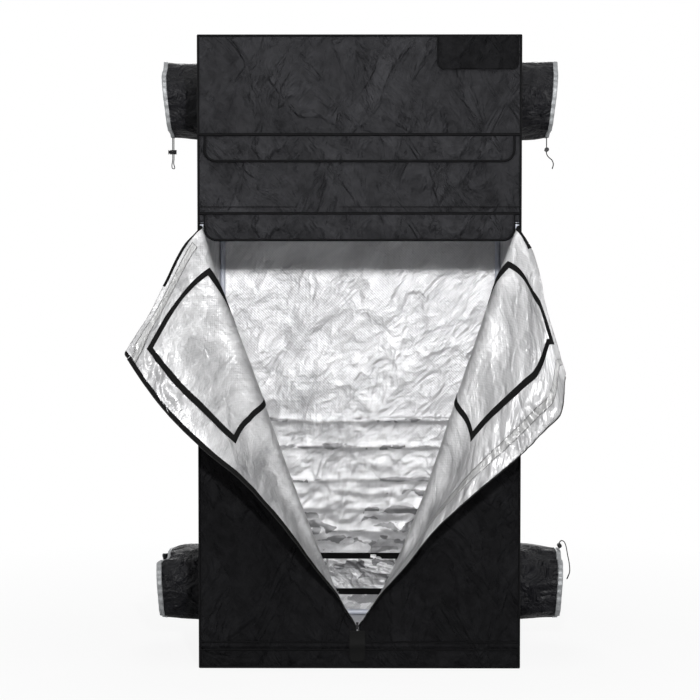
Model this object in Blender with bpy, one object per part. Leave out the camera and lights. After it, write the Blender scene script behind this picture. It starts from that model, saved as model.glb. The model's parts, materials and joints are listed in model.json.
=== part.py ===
"""Indoor grow tent on a steel tube frame, with both door leaves folded back.

Metres, +Z up, the front faces -Y. The origin is the centre of the underside.
"""
import math

import bmesh
import bpy
from mathutils import Matrix, Vector

# Overall size
WIDTH = 1.22
DEPTH = 1.22
HEIGHT = 2.41

# Cloth, and the room between neighbours
CLOTH = 0.0016
GAP = 0.0003
FRAME_CLEAR = 0.0006
CUT_OVERRUN = 0.02
MERGE = 0.00002
SMOOTH_ANGLE = math.radians(35)

# Steel tube frame
POLE_RADIUS = 0.011
POLE_WALL = 0.0012
POLE_SIDES = 12
STUB_LENGTH = 0.032
SPIGOT_LENGTH = 0.045
BALL_EXTRA = 0.0003
EXTENSION_LENGTH = 0.30
SWAGE_WALL = 0.001

# Hanging bars across the top
BAR_RADIUS = 0.008
BAR_SPREAD = 0.42
CLIP_WALL = 0.002
CLIP_WIDTH = 0.03
CLIP_FROM = math.radians(-135)
CLIP_TO = math.radians(50)
CLIP_STEPS = 10

# Seams and zips of the front
EXTENSION_SEAM = 2.035
DOOR_ZIP = 1.70
LEAF_TOP_DROP = 0.010
SILL = 0.10
V_BOTTOM = 0.165
V_CENTRE = -0.008
ZIP_HALF = 0.0065
BEAD_HALF = 0.003
BEAD_PROUD = 0.001

# Flaps that cover the two cross zips
FLAP_SIDE = 0.025
FLAP_DROP = 0.10
FLAP_CORNER = 0.042
FLAP_COLUMNS = 12
FLAP_ROWS = 4
FLAP_BELLY = 0.8
EXTENSION_FLAP_BOW = 0.002
DOOR_FLAP_BOW = 0.014
DOOR_FLAP_RISE = 0.037

# Tab under the foot of the door
TAB_WIDTH = 0.06
TAB_FOOT = 0.025
TAB_THICK = 0.0018
TAB_CORNER = 0.018
TAB_TOP_DROP = 0.02
CORNER_STEPS = 5
TONGUE_FOOT = 0.05

# Door leaf, folded back along a line from its top outer corner
FOLD_INSET = 0.012
FOLD_GAP = 0.0008
LEAF_CELL = 0.075
SNAP = 0.004
FLAT_ANGLE = math.radians(0.5)
LEAF_TIP_SHARE = 0.985
ROLL_LINE_SHARES = (-0.16, -0.12, -0.085, -0.055, -0.025, 0.03, 0.06, 0.09, 0.125, 0.19)
MIN_RUN = 0.02
HANDLE_SHARE = 0.36

# Window in each leaf, measured from the leaf's top outer corner
WINDOW_NEAR = 0.13
WINDOW_FAR = 0.55
WINDOW_UPPER = 0.05
WINDOW_LOWER = 0.60
COVER_THICK = 0.002
COVER_FOLD_CLEAR = 0.03

# Shares of the fold's length, then shares of half the width
LEFT_BOW_SHARES = ((0, 0), (0.14, 0.021), (0.33, 0.025), (0.56, 0.036), (0.7, 0.041),
                   (0.91, 0.034), (1, 0))
RIGHT_BOW_SHARES = ((0, 0), (0.13, 0), (0.25, 0.02), (0.41, 0.035), (0.52, 0.055),
                    (0.65, 0.073), (0.78, 0.07), (0.91, 0.05), (1, 0))
ROLL_SHARES = ((0, 0.013), (0.15, 0.06), (0.4, 0.09), (0.7, 0.075), (0.88, 0.035), (1, 0.006))
# Shares of the fold's length, then shares of a half turn
TURN_SHARES = ((0, 0.92), (0.5, 0.88), (0.8, 0.75), (0.9, 0.6), (1, 0.35))
# Place on the fold, then the edge's place: along the fold, outwards, forwards
LEFT_TOP_SHARES = ((0, 0.01, 0.05, 0.02), (0.03, 0.04, 0.172, 0.098), (0.065, 0.109, 0.348, 0.213),
                   (0.1, 0.171, 0.519, 0.311), (0.128, 0.223, 0.683, 0.41))
LEFT_FREE_SHARES = ((0.128, 0.223, 0.683, 0.41), (0.26, 0.349, 0.592, 0.426), (0.41, 0.482, 0.436, 0.443),
                    (0.5, 0.563, 0.313, 0.434), (0.6, 0.647, 0.221, 0.39), (0.7, 0.743, 0.153, 0.31),
                    (0.78, 0.809, 0.109, 0.235), (0.84, 0.865, 0.07, 0.165), (0.9, 0.915, 0.034, 0.1),
                    (0.95, 0.957, 0.024, 0.05), (1, 1, 0, 0.01))
RIGHT_TOP_SHARES = ((0, 0.01, 0.04, 0.02), (0.03, 0.042, 0.139, 0.082), (0.05, 0.087, 0.224, 0.148),
                    (0.08, 0.155, 0.323, 0.213), (0.11, 0.233, 0.483, 0.295), (0.133, 0.277, 0.579, 0.328))
RIGHT_FREE_SHARES = ((0.133, 0.277, 0.579, 0.328), (0.23, 0.36, 0.639, 0.344), (0.27, 0.4, 0.595, 0.361),
                     (0.38, 0.489, 0.491, 0.393), (0.49, 0.583, 0.355, 0.41), (0.58, 0.66, 0.256, 0.385),
                     (0.68, 0.741, 0.173, 0.33), (0.76, 0.816, 0.117, 0.26), (0.82, 0.858, 0.084, 0.2),
                     (0.876, 0.906, 0.049, 0.13), (0.92, 0.941, 0.031, 0.08), (1, 1, 0, 0.01))
LEFT_CURL_SHARES = ((0, 0.2), (1, 0.2))
RIGHT_CURL_SHARES = ((0, 0.3), (0.12, 0.9), (0.3, 0.5), (1, 0.2))

# Duct ports and their sleeves
PORT_RADIUS = 0.155
UPPER_PORT_HEIGHT = 2.20
LOWER_PORT_HEIGHT = 0.24
SLEEVE_CLOTH = 0.0012
UPPER_SLEEVE_LENGTH = 0.19
LOWER_SLEEVE_LENGTH = 0.215
UPPER_DROOP_SHARE = 0.18
LOWER_DROOP_SHARE = 0.08
SLEEVE_TAPER = 0.012
SLEEVE_RIPPLE = 0.005
SLEEVE_RIPPLES = 7
SLEEVE_SIDES = 28
SLEEVE_RINGS = 6
GATHER_RATE = 1.5

# Rear vent
VENT_WIDTH = 0.40
VENT_FOOT = 0.115
VENT_TOP = 0.245
VENT_BAND = 0.027
VENT_COVER_THICK = 0.0022
NET_STRAND = 0.002
NET_COLUMNS = 12
NET_ROWS = 4

# Zip sliders
SLIDER_LENGTH = 0.012
SLIDER_PLATE = 0.0012
SLIDER_WEB = 0.002
SLIDER_PARK = 0.035
PULL_WIDTH = 0.006
PULL_THICK = 0.001
PULL_LENGTH = 0.026
CENTRE_SLIDER_HALF = 0.005
CENTRE_SLIDER_WAIST_SHARE = 0.6
CENTRE_SLIDER_THICK = 0.009

# Drawcords, as moves (outwards, up) from where each leaves its sleeve, and their locks
UPPER_LEFT_CORD = ((0, 0), (0, -0.03), (0, -0.06), (0, -0.09), (-0.002, -0.108), (0, -0.122))
UPPER_LEFT_LOCK = (0, -0.06)
UPPER_RIGHT_CORD = ((0, 0), (0, -0.024), (0, -0.046), (0, -0.066), (0.008, -0.08), (0.022, -0.092),
                    (0.028, -0.108), (0.025, -0.122))
UPPER_RIGHT_LOCK = (0, -0.05)
LOWER_RIGHT_CORD = ((0, 0), (0, 0.012), (0, 0.024), (0.008, 0.033), (0.02, 0.028), (0.028, 0.008),
                    (0.034, -0.025), (0.041, -0.06), (0.043, -0.095), (0.034, -0.12))
LOWER_RIGHT_LOCK = (0, 0.0135)
CORD_RADIUS = 0.00125
CORD_STEP = 0.0075
CORD_SPREAD = 0.0026
LOOP_RADIUS = 0.0055
LOOP_NECK = 0.022
LOOP_STEPS = 6
CORD_EXIT_INSET = 0.008
CORD_EXIT_CLEAR = 0.0004
LOCK_RADIUS = 0.009
LOCK_LENGTH = 0.026
SLOT_ROOM = 0.0006
PLUNGER_RADIUS = 0.006
PLUNGER_BORE_DEPTH = 0.0085
PLUNGER_TRAVEL = 0.0035
PLUNGER_STEM = 0.0045
PLUNGER_CAP = 0.003

FRONT = -DEPTH / 2
HALF_WIDTH = WIDTH / 2
LEAF_TOP = DOOR_ZIP - LEAF_TOP_DROP
POLE_OFFSET = HALF_WIDTH - CLOTH - FRAME_CLEAR - POLE_RADIUS
POLE_OFFSET_Y = DEPTH / 2 - CLOTH - FRAME_CLEAR - POLE_RADIUS
BOTTOM_BAR_HEIGHT = CLOTH + FRAME_CLEAR + POLE_RADIUS
TOP_BAR_HEIGHT = HEIGHT - CLOTH - FRAME_CLEAR - POLE_RADIUS
BORE_RADIUS = POLE_RADIUS - POLE_WALL
SPIGOT_RADIUS = BORE_RADIUS - GAP
EXTENSION_FOOT = TOP_BAR_HEIGHT - STUB_LENGTH - GAP - EXTENSION_LENGTH
SIDE_NAMES = {-1: "left", 1: "right"}
END_NAMES = {-1: "front", 1: "back"}


def clear_scene():
    for item in list(bpy.data.objects):
        bpy.data.objects.remove(item, do_unlink=True)


def finish(name, colour, roughness, metallic=0.0):
    """A plain Principled material."""
    made = bpy.data.materials.new(name)
    made.use_nodes = True
    shader = made.node_tree.nodes["Principled BSDF"]
    shader.inputs["Base Color"].default_value = (*colour, 1.0)
    shader.inputs["Roughness"].default_value = roughness
    shader.inputs["Metallic"].default_value = metallic
    return made


def add_object(name, shape, look, smooth=False):
    """Turn a bmesh into a named object in the scene."""
    mesh = bpy.data.meshes.new(name)
    shape.to_mesh(mesh)
    shape.free()
    mesh.materials.append(look)
    if smooth:
        mesh.shade_smooth()
        mesh.set_sharp_from_angle(angle=SMOOTH_ANGLE)
    made = bpy.data.objects.new(name, mesh)
    bpy.context.scene.collection.objects.link(made)
    return made


def as_cutter(item):
    """A guide that only a Boolean reads."""
    item.hide_render = True
    item.display_type = "WIRE"
    return item


def boolean(item, tool, operation):
    """Join a guide to an object, or cut it out."""
    step = item.modifiers.new(operation.title(), "BOOLEAN")
    step.operation = operation
    step.solver = "EXACT"
    step.object = as_cutter(tool)


def box(name, low, high, look):
    """A box between two corners."""
    low, high = Vector(low), Vector(high)
    shape = bmesh.new()
    bmesh.ops.create_cube(shape, size=1.0)
    bmesh.ops.scale(shape, vec=high - low, verts=shape.verts)
    bmesh.ops.translate(shape, vec=(low + high) / 2, verts=shape.verts)
    return add_object(name, shape, look)


def turned(name, profile, look, place=Matrix()):
    """A profile of (radius, height) points spun about Z, then placed."""
    shape = bmesh.new()
    points = [shape.verts.new((radius, 0.0, height)) for radius, height in profile]
    edges = [shape.edges.new(pair) for pair in zip(points, points[1:])]
    if profile[0][0] > 0:
        edges.append(shape.edges.new((points[-1], points[0])))
    bmesh.ops.spin(shape, geom=points + edges, cent=(0, 0, 0), axis=(0, 0, 1),
                   angle=2 * math.pi, steps=POLE_SIDES, use_merge=True)
    bmesh.ops.remove_doubles(shape, verts=shape.verts, dist=MERGE)
    bmesh.ops.recalc_face_normals(shape, faces=shape.faces)
    bmesh.ops.transform(shape, matrix=place, verts=shape.verts)
    return add_object(name, shape, look, smooth=True)


def extruded(name, outline, depth, look, place):
    """A flat outline of (x, y) points, pushed up by depth along Z, then placed."""
    shape = bmesh.new()
    face = shape.faces.new([shape.verts.new((x, y, 0.0)) for x, y in outline])
    pushed = bmesh.ops.extrude_face_region(shape, geom=[face])
    raised = [item for item in pushed["geom"] if isinstance(item, bmesh.types.BMVert)]
    bmesh.ops.translate(shape, vec=(0, 0, depth), verts=raised)
    bmesh.ops.recalc_face_normals(shape, faces=shape.faces)
    bmesh.ops.transform(shape, matrix=place, verts=shape.verts)
    return add_object(name, shape, look)


def towards(direction, start):
    """Turn +Z to a direction along X, Y or Z and move the origin to a start."""
    turn = Vector((0, 0, 1)).rotation_difference(Vector(direction)).to_matrix().to_4x4()
    return Matrix.Translation(Vector(start)) @ turn


def add_frame(steel):
    """Tubes, corner connectors and the two hanging bars."""
    def tube(name, start, direction, length):
        profile = ((POLE_RADIUS, 0), (BORE_RADIUS, 0), (BORE_RADIUS, length), (POLE_RADIUS, length))
        turned(name, profile, steel, towards(direction, start))

    def extension_pole(name, start):
        inner = SPIGOT_RADIUS - SWAGE_WALL
        profile = ((POLE_RADIUS, GAP), (SPIGOT_RADIUS, GAP), (SPIGOT_RADIUS, -SPIGOT_LENGTH),
                   (inner, -SPIGOT_LENGTH), (inner, SPIGOT_LENGTH), (BORE_RADIUS, SPIGOT_LENGTH),
                   (BORE_RADIUS, EXTENSION_LENGTH), (POLE_RADIUS, EXTENSION_LENGTH))
        turned(name, profile, steel, towards((0, 0, 1), start))

    def connector(name, centre, directions):
        reach = STUB_LENGTH + SPIGOT_LENGTH
        arm = ((0, 0), (POLE_RADIUS, 0), (POLE_RADIUS, STUB_LENGTH),
               (SPIGOT_RADIUS, STUB_LENGTH), (SPIGOT_RADIUS, reach), (0, reach))
        arms = [turned(f"{name}_arm_{index}", arm, steel, towards(direction, centre))
                for index, direction in enumerate(directions)]
        shape = bmesh.new()
        bmesh.ops.create_uvsphere(shape, u_segments=POLE_SIDES, v_segments=POLE_SIDES // 2,
                                  radius=POLE_RADIUS + BALL_EXTRA)
        bmesh.ops.translate(shape, vec=centre, verts=shape.verts)
        body = add_object(name, shape, steel, smooth=True)
        for item in arms:
            boolean(body, item, "UNION")

    first = STUB_LENGTH + GAP
    across = 2 * (POLE_OFFSET - first)
    deep = 2 * (POLE_OFFSET_Y - first)
    for level, height in (("bottom", BOTTOM_BAR_HEIGHT), ("top", TOP_BAR_HEIGHT)):
        rise = 1 if level == "bottom" else -1
        for end, end_name in END_NAMES.items():
            tube(f"{level}_bar_{end_name}", (-across / 2, end * POLE_OFFSET_Y, height), (1, 0, 0), across)
        for side, side_name in SIDE_NAMES.items():
            tube(f"{level}_bar_{side_name}", (side * POLE_OFFSET, -deep / 2, height), (0, 1, 0), deep)
            for end, end_name in END_NAMES.items():
                connector(f"{level}_corner_{end_name}_{side_name}",
                          (side * POLE_OFFSET, end * POLE_OFFSET_Y, height),
                          ((-side, 0, 0), (0, -end, 0), (0, 0, rise)))
    lower_foot = BOTTOM_BAR_HEIGHT + first
    for side, side_name in SIDE_NAMES.items():
        for end, end_name in END_NAMES.items():
            place = (side * POLE_OFFSET, end * POLE_OFFSET_Y)
            tube(f"lower_pole_{end_name}_{side_name}", (*place, lower_foot), (0, 0, 1),
                 EXTENSION_FOOT - lower_foot)
            extension_pole(f"extension_pole_{end_name}_{side_name}", (*place, EXTENSION_FOOT))


def add_hanging_bars(steel):
    """Bars across the top, each with a clip round the side bars."""
    inner = POLE_RADIUS + GAP
    outer = inner + CLIP_WALL
    turns = [CLIP_FROM + (CLIP_TO - CLIP_FROM) * step / CLIP_STEPS for step in range(CLIP_STEPS + 1)]
    outline = [(outer * math.cos(turn), outer * math.sin(turn)) for turn in turns]
    outline += [(inner * math.cos(turn), inner * math.sin(turn)) for turn in reversed(turns)]
    half = POLE_OFFSET - inner - CLIP_WALL / 2
    for end, end_name in END_NAMES.items():
        along = end * BAR_SPREAD / 2
        rod = ((0, 0), (BAR_RADIUS, 0), (BAR_RADIUS, 2 * half), (0, 2 * half))
        bar = turned(f"hanging_bar_{end_name}", rod, steel, towards((1, 0, 0), (-half, along, TOP_BAR_HEIGHT)))
        for side in SIDE_NAMES:
            # The outline's x runs inwards from the side bar, its y runs up
            turn = Matrix(((-side, 0, 0, side * POLE_OFFSET), (0, 0, 1, along - CLIP_WIDTH / 2),
                           (0, 1, 0, TOP_BAR_HEIGHT), (0, 0, 0, 1)))
            clip = extruded(f"hanging_bar_{end_name}_clip_{side}", outline, CLIP_WIDTH, steel, turn)
            boolean(bar, clip, "UNION")


def add_shell(cloth):
    """Floor, roof, side walls with their duct ports, and the back wall."""
    half, back = HALF_WIDTH, DEPTH / 2
    inside = back - CLOTH - GAP
    low, high = CLOTH + GAP, HEIGHT - CLOTH - GAP
    box("floor_panel", (-half, -back, 0), (half, back, CLOTH), cloth)
    box("roof_panel", (-half, -back, HEIGHT - CLOTH), (half, back, HEIGHT), cloth)
    wall_back = box("wall_back", (-half, back - CLOTH, low), (half, back, high), cloth)
    hole = box("vent_cut", (-VENT_WIDTH / 2, inside - CUT_OVERRUN, VENT_FOOT),
               (VENT_WIDTH / 2, back + CUT_OVERRUN, VENT_TOP), cloth)
    boolean(wall_back, hole, "DIFFERENCE")
    for side, side_name in SIDE_NAMES.items():
        near, far = sorted((side * half, side * (half - CLOTH)))
        wall = box(f"wall_{side_name}", (near, -inside, low), (far, inside, high), cloth)
        for level, height in (("upper", UPPER_PORT_HEIGHT), ("lower", LOWER_PORT_HEIGHT)):
            shape = bmesh.new()
            bmesh.ops.create_cone(shape, cap_ends=True, segments=SLEEVE_SIDES, radius1=PORT_RADIUS,
                                  radius2=PORT_RADIUS, depth=CLOTH + 2 * CUT_OVERRUN)
            bmesh.ops.transform(shape, matrix=towards((1, 0, 0), (side * half, 0, height)),
                                verts=shape.verts)
            boolean(wall, add_object(f"port_cut_{side_name}_{level}", shape, cloth), "DIFFERENCE")


def add_front_panels(cloth):
    """Top panel, extension panel with its zip beads, and the sill with its tab."""
    half = HALF_WIDTH
    skin = FRONT + CLOTH
    box("front_top_panel", (-half, FRONT, EXTENSION_SEAM + GAP), (half, skin, HEIGHT - CLOTH - GAP), cloth)
    upper, lower = EXTENSION_SEAM - GAP, DOOR_ZIP
    proud = FRONT - BEAD_PROUD
    outline = ((FRONT, upper), (skin, upper), (skin, lower - BEAD_HALF), (proud, lower - BEAD_HALF),
               (proud, lower + BEAD_HALF), (FRONT, lower + BEAD_HALF))
    # The outline's x runs back into the tent, its y runs up
    turn = Matrix(((0, 0, 1, -half), (1, 0, 0, 0), (0, 1, 0, 0), (0, 0, 0, 1)))
    extruded("front_extension_panel", outline, WIDTH, cloth, turn)
    sill = box("front_sill_panel", (-half, FRONT, CLOTH + GAP), (half, skin, SILL), cloth)
    tab_back = FRONT - GAP
    reach = ZIP_HALF - GAP
    tongue = box("sill_tongue", (V_CENTRE - reach, tab_back - TAB_THICK / 2, TONGUE_FOOT),
                 (V_CENTRE + reach, skin - CLOTH / 4, V_BOTTOM - GAP), cloth)
    boolean(sill, tongue, "UNION")
    outline = rounded_foot(V_CENTRE - TAB_WIDTH / 2, V_CENTRE + TAB_WIDTH / 2,
                           TAB_FOOT, V_BOTTOM - TAB_TOP_DROP, TAB_CORNER)
    tab = extruded("sill_tab", outline, TAB_THICK, cloth, upright(tab_back))
    boolean(sill, tab, "UNION")


def upright(back):
    """Stand an outline up so that it grows forward from a back face."""
    return Matrix(((1, 0, 0, 0), (0, 0, -1, back), (0, 1, 0, 0), (0, 0, 0, 1)))


def rounded_foot(left, right, foot, top, corner):
    """Outline of a plate with both lower corners rounded."""
    points = [(right, top), (left, top)]
    for middle, start in ((left + corner, math.pi), (right - corner, 1.5 * math.pi)):
        for step in range(CORNER_STEPS + 1):
            turn = start + math.pi / 2 * step / CORNER_STEPS
            points.append((middle + corner * math.cos(turn), foot + corner + corner * math.sin(turn)))
    return points


def add_zip_flap(name, seam, bow, cloth):
    """A cover over a zip, sewn at its top edge and bowed over the slider."""
    left, right = -HALF_WIDTH + FLAP_SIDE, HALF_WIDTH - FLAP_SIDE
    corner_columns = FLAP_COLUMNS // 4
    turns = [math.pi / 2 * step / corner_columns for step in range(corner_columns + 1)]
    ends = [(FLAP_CORNER * (1 - math.cos(turn)), FLAP_CORNER * (1 - math.sin(turn))) for turn in turns]
    middle = [(FLAP_CORNER + (right - left - 2 * FLAP_CORNER) * step / FLAP_COLUMNS, 0.0)
              for step in range(1, FLAP_COLUMNS)]
    columns = [(left + x, cut) for x, cut in ends + middle]
    columns += [(right - x, cut) for x, cut in reversed(ends)]
    shape = bmesh.new()
    grid = []
    for x, cut in columns:
        line = []
        for row in range(FLAP_ROWS + 1):
            share = row / FLAP_ROWS
            forward = FRONT - GAP - bow * math.sin(math.pi * share ** FLAP_BELLY)
            line.append(shape.verts.new((x, forward, seam - share * (FLAP_DROP - cut))))
        grid.append(line)
    for one, two in zip(grid, grid[1:]):
        for row in range(FLAP_ROWS):
            shape.faces.new((one[row], one[row + 1], two[row + 1], two[row]))
    flap = add_object(name, shape, cloth)
    thicken(flap, CLOTH)


def thicken(item, thickness):
    """Give a sheet its thickness on the side that its faces look to."""
    step = item.modifiers.new("Thickness", "SOLIDIFY")
    step.thickness = thickness
    step.offset = 1.0


def table_value(rows, share):
    """Read a smooth curve through rows of (share, value, ...)."""
    share = min(max(share, rows[0][0]), rows[-1][0])
    last = len(rows) - 2
    spot = next((index for index in range(last) if share <= rows[index + 1][0]), last)
    lower, upper = rows[spot], rows[spot + 1]
    before = rows[spot - 1] if spot > 0 else lower
    after = rows[spot + 2] if spot < last else upper
    span = upper[0] - lower[0]
    part = (share - lower[0]) / span
    found = []
    for column in range(1, len(lower)):
        slope_in = (upper[column] - before[column]) / (upper[0] - before[0]) * span
        slope_out = (after[column] - lower[column]) / (after[0] - lower[0]) * span
        found.append((2 * part ** 3 - 3 * part ** 2 + 1) * lower[column]
                     + (part ** 3 - 2 * part ** 2 + part) * slope_in
                     + (3 * part ** 2 - 2 * part ** 3) * upper[column]
                     + (part ** 3 - part ** 2) * slope_out)
    return found if len(found) > 1 else found[0]


class Leaf:
    """One door leaf: a flat sheet in the front plane, and how it folds back."""

    def __init__(self, side, bow, top_edge, free_edge, curl):
        self.side, self.bow, self.curl = side, bow, curl
        self.top_edge, self.free_edge = top_edge, free_edge
        self.corner = Vector((side * (HALF_WIDTH - FOLD_INSET), FRONT, LEAF_TOP))
        self.foot = Vector((V_CENTRE + side * ZIP_HALF, FRONT, V_BOTTOM))
        self.length = (self.foot - self.corner).length
        self.along = (self.foot - self.corner).normalized()
        self.forward = Vector((0, -1, 0))
        self.inward = self.along.cross(self.forward) * side
        self.inward *= -side * math.copysign(1, self.inward.x)

    def section_length(self, share):
        """Flat cloth from the fold line to the leaf's edge, square to the fold."""
        meeting = Vector((self.foot.x, FRONT, LEAF_TOP)) - self.corner
        corner_share = meeting.dot(self.along) / self.length
        height = meeting.dot(self.inward)
        if share < corner_share:
            return height * max(share, 0) / corner_share
        return height * max(1 - share, 0) / (1 - corner_share)

    def drape(self, flat):
        """Place of a point of the flat leaf once the leaf hangs folded back."""
        offset = flat - self.corner
        share = offset.dot(self.along) / self.length
        reach = offset.dot(self.inward)
        bow = HALF_WIDTH * table_value(self.bow, share)
        radius = HALF_WIDTH * table_value(ROLL_SHARES, share)
        start = -radius - bow
        if share > 1 or reach <= start:
            return flat.copy()
        turn = math.pi * table_value(TURN_SHARES, share)
        base = self.corner + self.along * (share * self.length) + self.inward * start
        angle = min((reach - start) / radius, turn)
        place = base + radius * (self.inward * math.sin(angle) + self.forward * (1 - math.cos(angle)))
        if angle < turn:
            return place
        rolled = start + radius * turn
        whole = max(self.section_length(share), rolled + MIN_RUN)
        edge = self.top_edge if share < self.free_edge[0][0] else self.free_edge
        along_share, out_share, forward_share = table_value(edge, share)
        end = (self.corner + self.along * (along_share * self.length)
               + HALF_WIDTH * (self.forward * forward_share - self.inward * out_share))
        leaving = self.inward * math.cos(turn) + self.forward * math.sin(turn)
        chord = end - place
        arriving = (chord.normalized() - self.forward * table_value(self.curl, share)).normalized()
        handle = HANDLE_SHARE * chord.length
        part = min((reach - rolled) / (whole - rolled), 1.0)
        rest = 1 - part
        return (place * rest ** 3 + (place + leaving * handle) * (3 * rest ** 2 * part)
                + (end - arriving * handle) * (3 * rest * part ** 2) + end * part ** 3)


def steps_between(stops, cell):
    """Stops with evenly spaced lines between them, none further apart than a cell."""
    lines = []
    for first, second in zip(stops, stops[1:]):
        count = max(1, math.ceil(abs(second - first) / cell))
        lines += [first + (second - first) * step / count for step in range(count)]
    return lines + [stops[-1]]


def flat_leaf(leaf):
    """Sheet in the front plane, with edges round the window and along the roll."""
    outer = leaf.side * HALF_WIDTH
    columns = [outer - leaf.side * near for near in (0, WINDOW_NEAR, WINDOW_FAR)] + [leaf.foot.x]
    rows = [LEAF_TOP, LEAF_TOP - WINDOW_UPPER, LEAF_TOP - WINDOW_LOWER, V_BOTTOM, SILL + GAP]
    xs, zs = steps_between(columns, LEAF_CELL), steps_between(rows, LEAF_CELL)
    sheet = bmesh.new()
    grid = [[sheet.verts.new((x, FRONT, z)) for x in xs] for z in zs]
    for upper, lower in zip(grid, grid[1:]):
        for column in range(len(xs) - 1):
            sheet.faces.new((upper[column], upper[column + 1], lower[column + 1], lower[column]))
    for share in ROLL_LINE_SHARES:
        cut_sheet(sheet, leaf.corner + leaf.inward * (share * HALF_WIDTH), leaf.inward, SNAP)
    return sheet


def cut_sheet(sheet, place, normal, snap, clear=False):
    """Cut a flat sheet by a plane, and clear what lies beyond it if asked."""
    parts = list(sheet.verts) + list(sheet.edges) + list(sheet.faces)
    bmesh.ops.bisect_plane(sheet, geom=parts, dist=snap, plane_co=place, plane_no=normal,
                           clear_outer=clear)


def drape_sheet(sheet, leaf):
    """Triangulate a flat sheet, fold it back and face it to its silver side."""
    bmesh.ops.remove_doubles(sheet, verts=sheet.verts, dist=MERGE)
    bmesh.ops.triangulate(sheet, faces=sheet.faces)
    for face in sheet.faces:
        face.normal_update()
        if face.normal.y < 0:
            face.normal_flip()
    for point in sheet.verts:
        point.co = leaf.drape(point.co)
    sheet.normal_update()


def add_leaf(leaf, cloth, silver):
    """The part of the leaf that stays in the plane, the hanging part and its window cover."""
    side_name = SIDE_NAMES[leaf.side]
    flat = flat_leaf(leaf)
    still = flat.copy()
    cut_sheet(still, leaf.corner - leaf.inward * (FOLD_GAP / 2), leaf.inward, MERGE, clear=True)
    drape_sheet(still, leaf)
    bmesh.ops.dissolve_limit(still, angle_limit=FLAT_ANGLE, verts=still.verts, edges=still.edges)
    thicken(add_object(f"front_side_{side_name}", still, cloth), CLOTH)

    loose = flat
    cut_sheet(loose, leaf.corner + leaf.inward * (FOLD_GAP / 2), -leaf.inward, MERGE, clear=True)
    cut_sheet(loose, leaf.corner + leaf.along * (LEAF_TIP_SHARE * leaf.length), leaf.along, MERGE, clear=True)
    cover = window_patch(loose, leaf)
    drape_sheet(loose, leaf)
    lift_patch(cover, loose, leaf)
    thicken(add_object(f"door_leaf_{side_name}", loose, silver), CLOTH)
    thicken(add_object(f"window_cover_{side_name}", cover, silver), COVER_THICK)


def window_patch(sheet, leaf):
    """Copy of the flat leaf's window, clear of the fold."""
    patch = sheet.copy()
    outer = leaf.side * HALF_WIDTH
    for near, facing in ((WINDOW_NEAR, leaf.side), (WINDOW_FAR, -leaf.side)):
        cut_sheet(patch, Vector((outer - leaf.side * near, FRONT, 0)), Vector((facing, 0, 0)), MERGE, clear=True)
    for drop, facing in ((WINDOW_UPPER, 1), (WINDOW_LOWER, -1)):
        cut_sheet(patch, Vector((0, FRONT, LEAF_TOP - drop)), Vector((0, 0, facing)), MERGE, clear=True)
    cut_sheet(patch, leaf.corner + leaf.inward * COVER_FOLD_CLEAR, -leaf.inward, MERGE, clear=True)
    return patch


def lift_patch(patch, sheet, leaf):
    """Drape a patch of a leaf and lift it just clear of the leaf's silver side."""
    drape_sheet(patch, leaf)
    for point in patch.verts:
        nearest = min(sheet.verts, key=lambda other: (other.co - point.co).length_squared)
        normal = nearest.normal if (nearest.co - point.co).length < SNAP else point.normal
        point.co = point.co + normal * (CLOTH + GAP)
    patch.normal_update()


def sleeve_radius(turn, share):
    """Inner radius of a sleeve: round at the wall, gathered into ripples at its end."""
    gather = share ** GATHER_RATE
    ripple = SLEEVE_RIPPLE * (1 - math.cos(SLEEVE_RIPPLES * turn))
    return PORT_RADIUS - (SLEEVE_TAPER + ripple) * gather


def add_sleeve(side, level, height, length, droop, nylon):
    """A cloth sleeve round a duct port, open at both ends, its lower side drawn in."""
    shape = bmesh.new()
    rings = []
    for ring in range(SLEEVE_RINGS + 1):
        share = ring / SLEEVE_RINGS
        points = []
        for step in range(SLEEVE_SIDES):
            turn = 2 * math.pi * step / SLEEVE_SIDES
            radius = sleeve_radius(turn, share)
            drawn = 1 - droop * (1 + math.cos(turn)) / 2
            x = side * (HALF_WIDTH + GAP + length * share * drawn)
            points.append(shape.verts.new((x, radius * math.sin(turn), height - radius * math.cos(turn))))
        rings.append(points)
    for one, two in zip(rings, rings[1:]):
        for step in range(SLEEVE_SIDES):
            after = (step + 1) % SLEEVE_SIDES
            shape.faces.new((one[step], one[after], two[after], two[step]))
    bmesh.ops.recalc_face_normals(shape, faces=shape.faces)
    sleeve = add_object(f"duct_sleeve_{level}_{SIDE_NAMES[side]}", shape, nylon, smooth=True)
    thicken(sleeve, SLEEVE_CLOTH)


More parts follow.
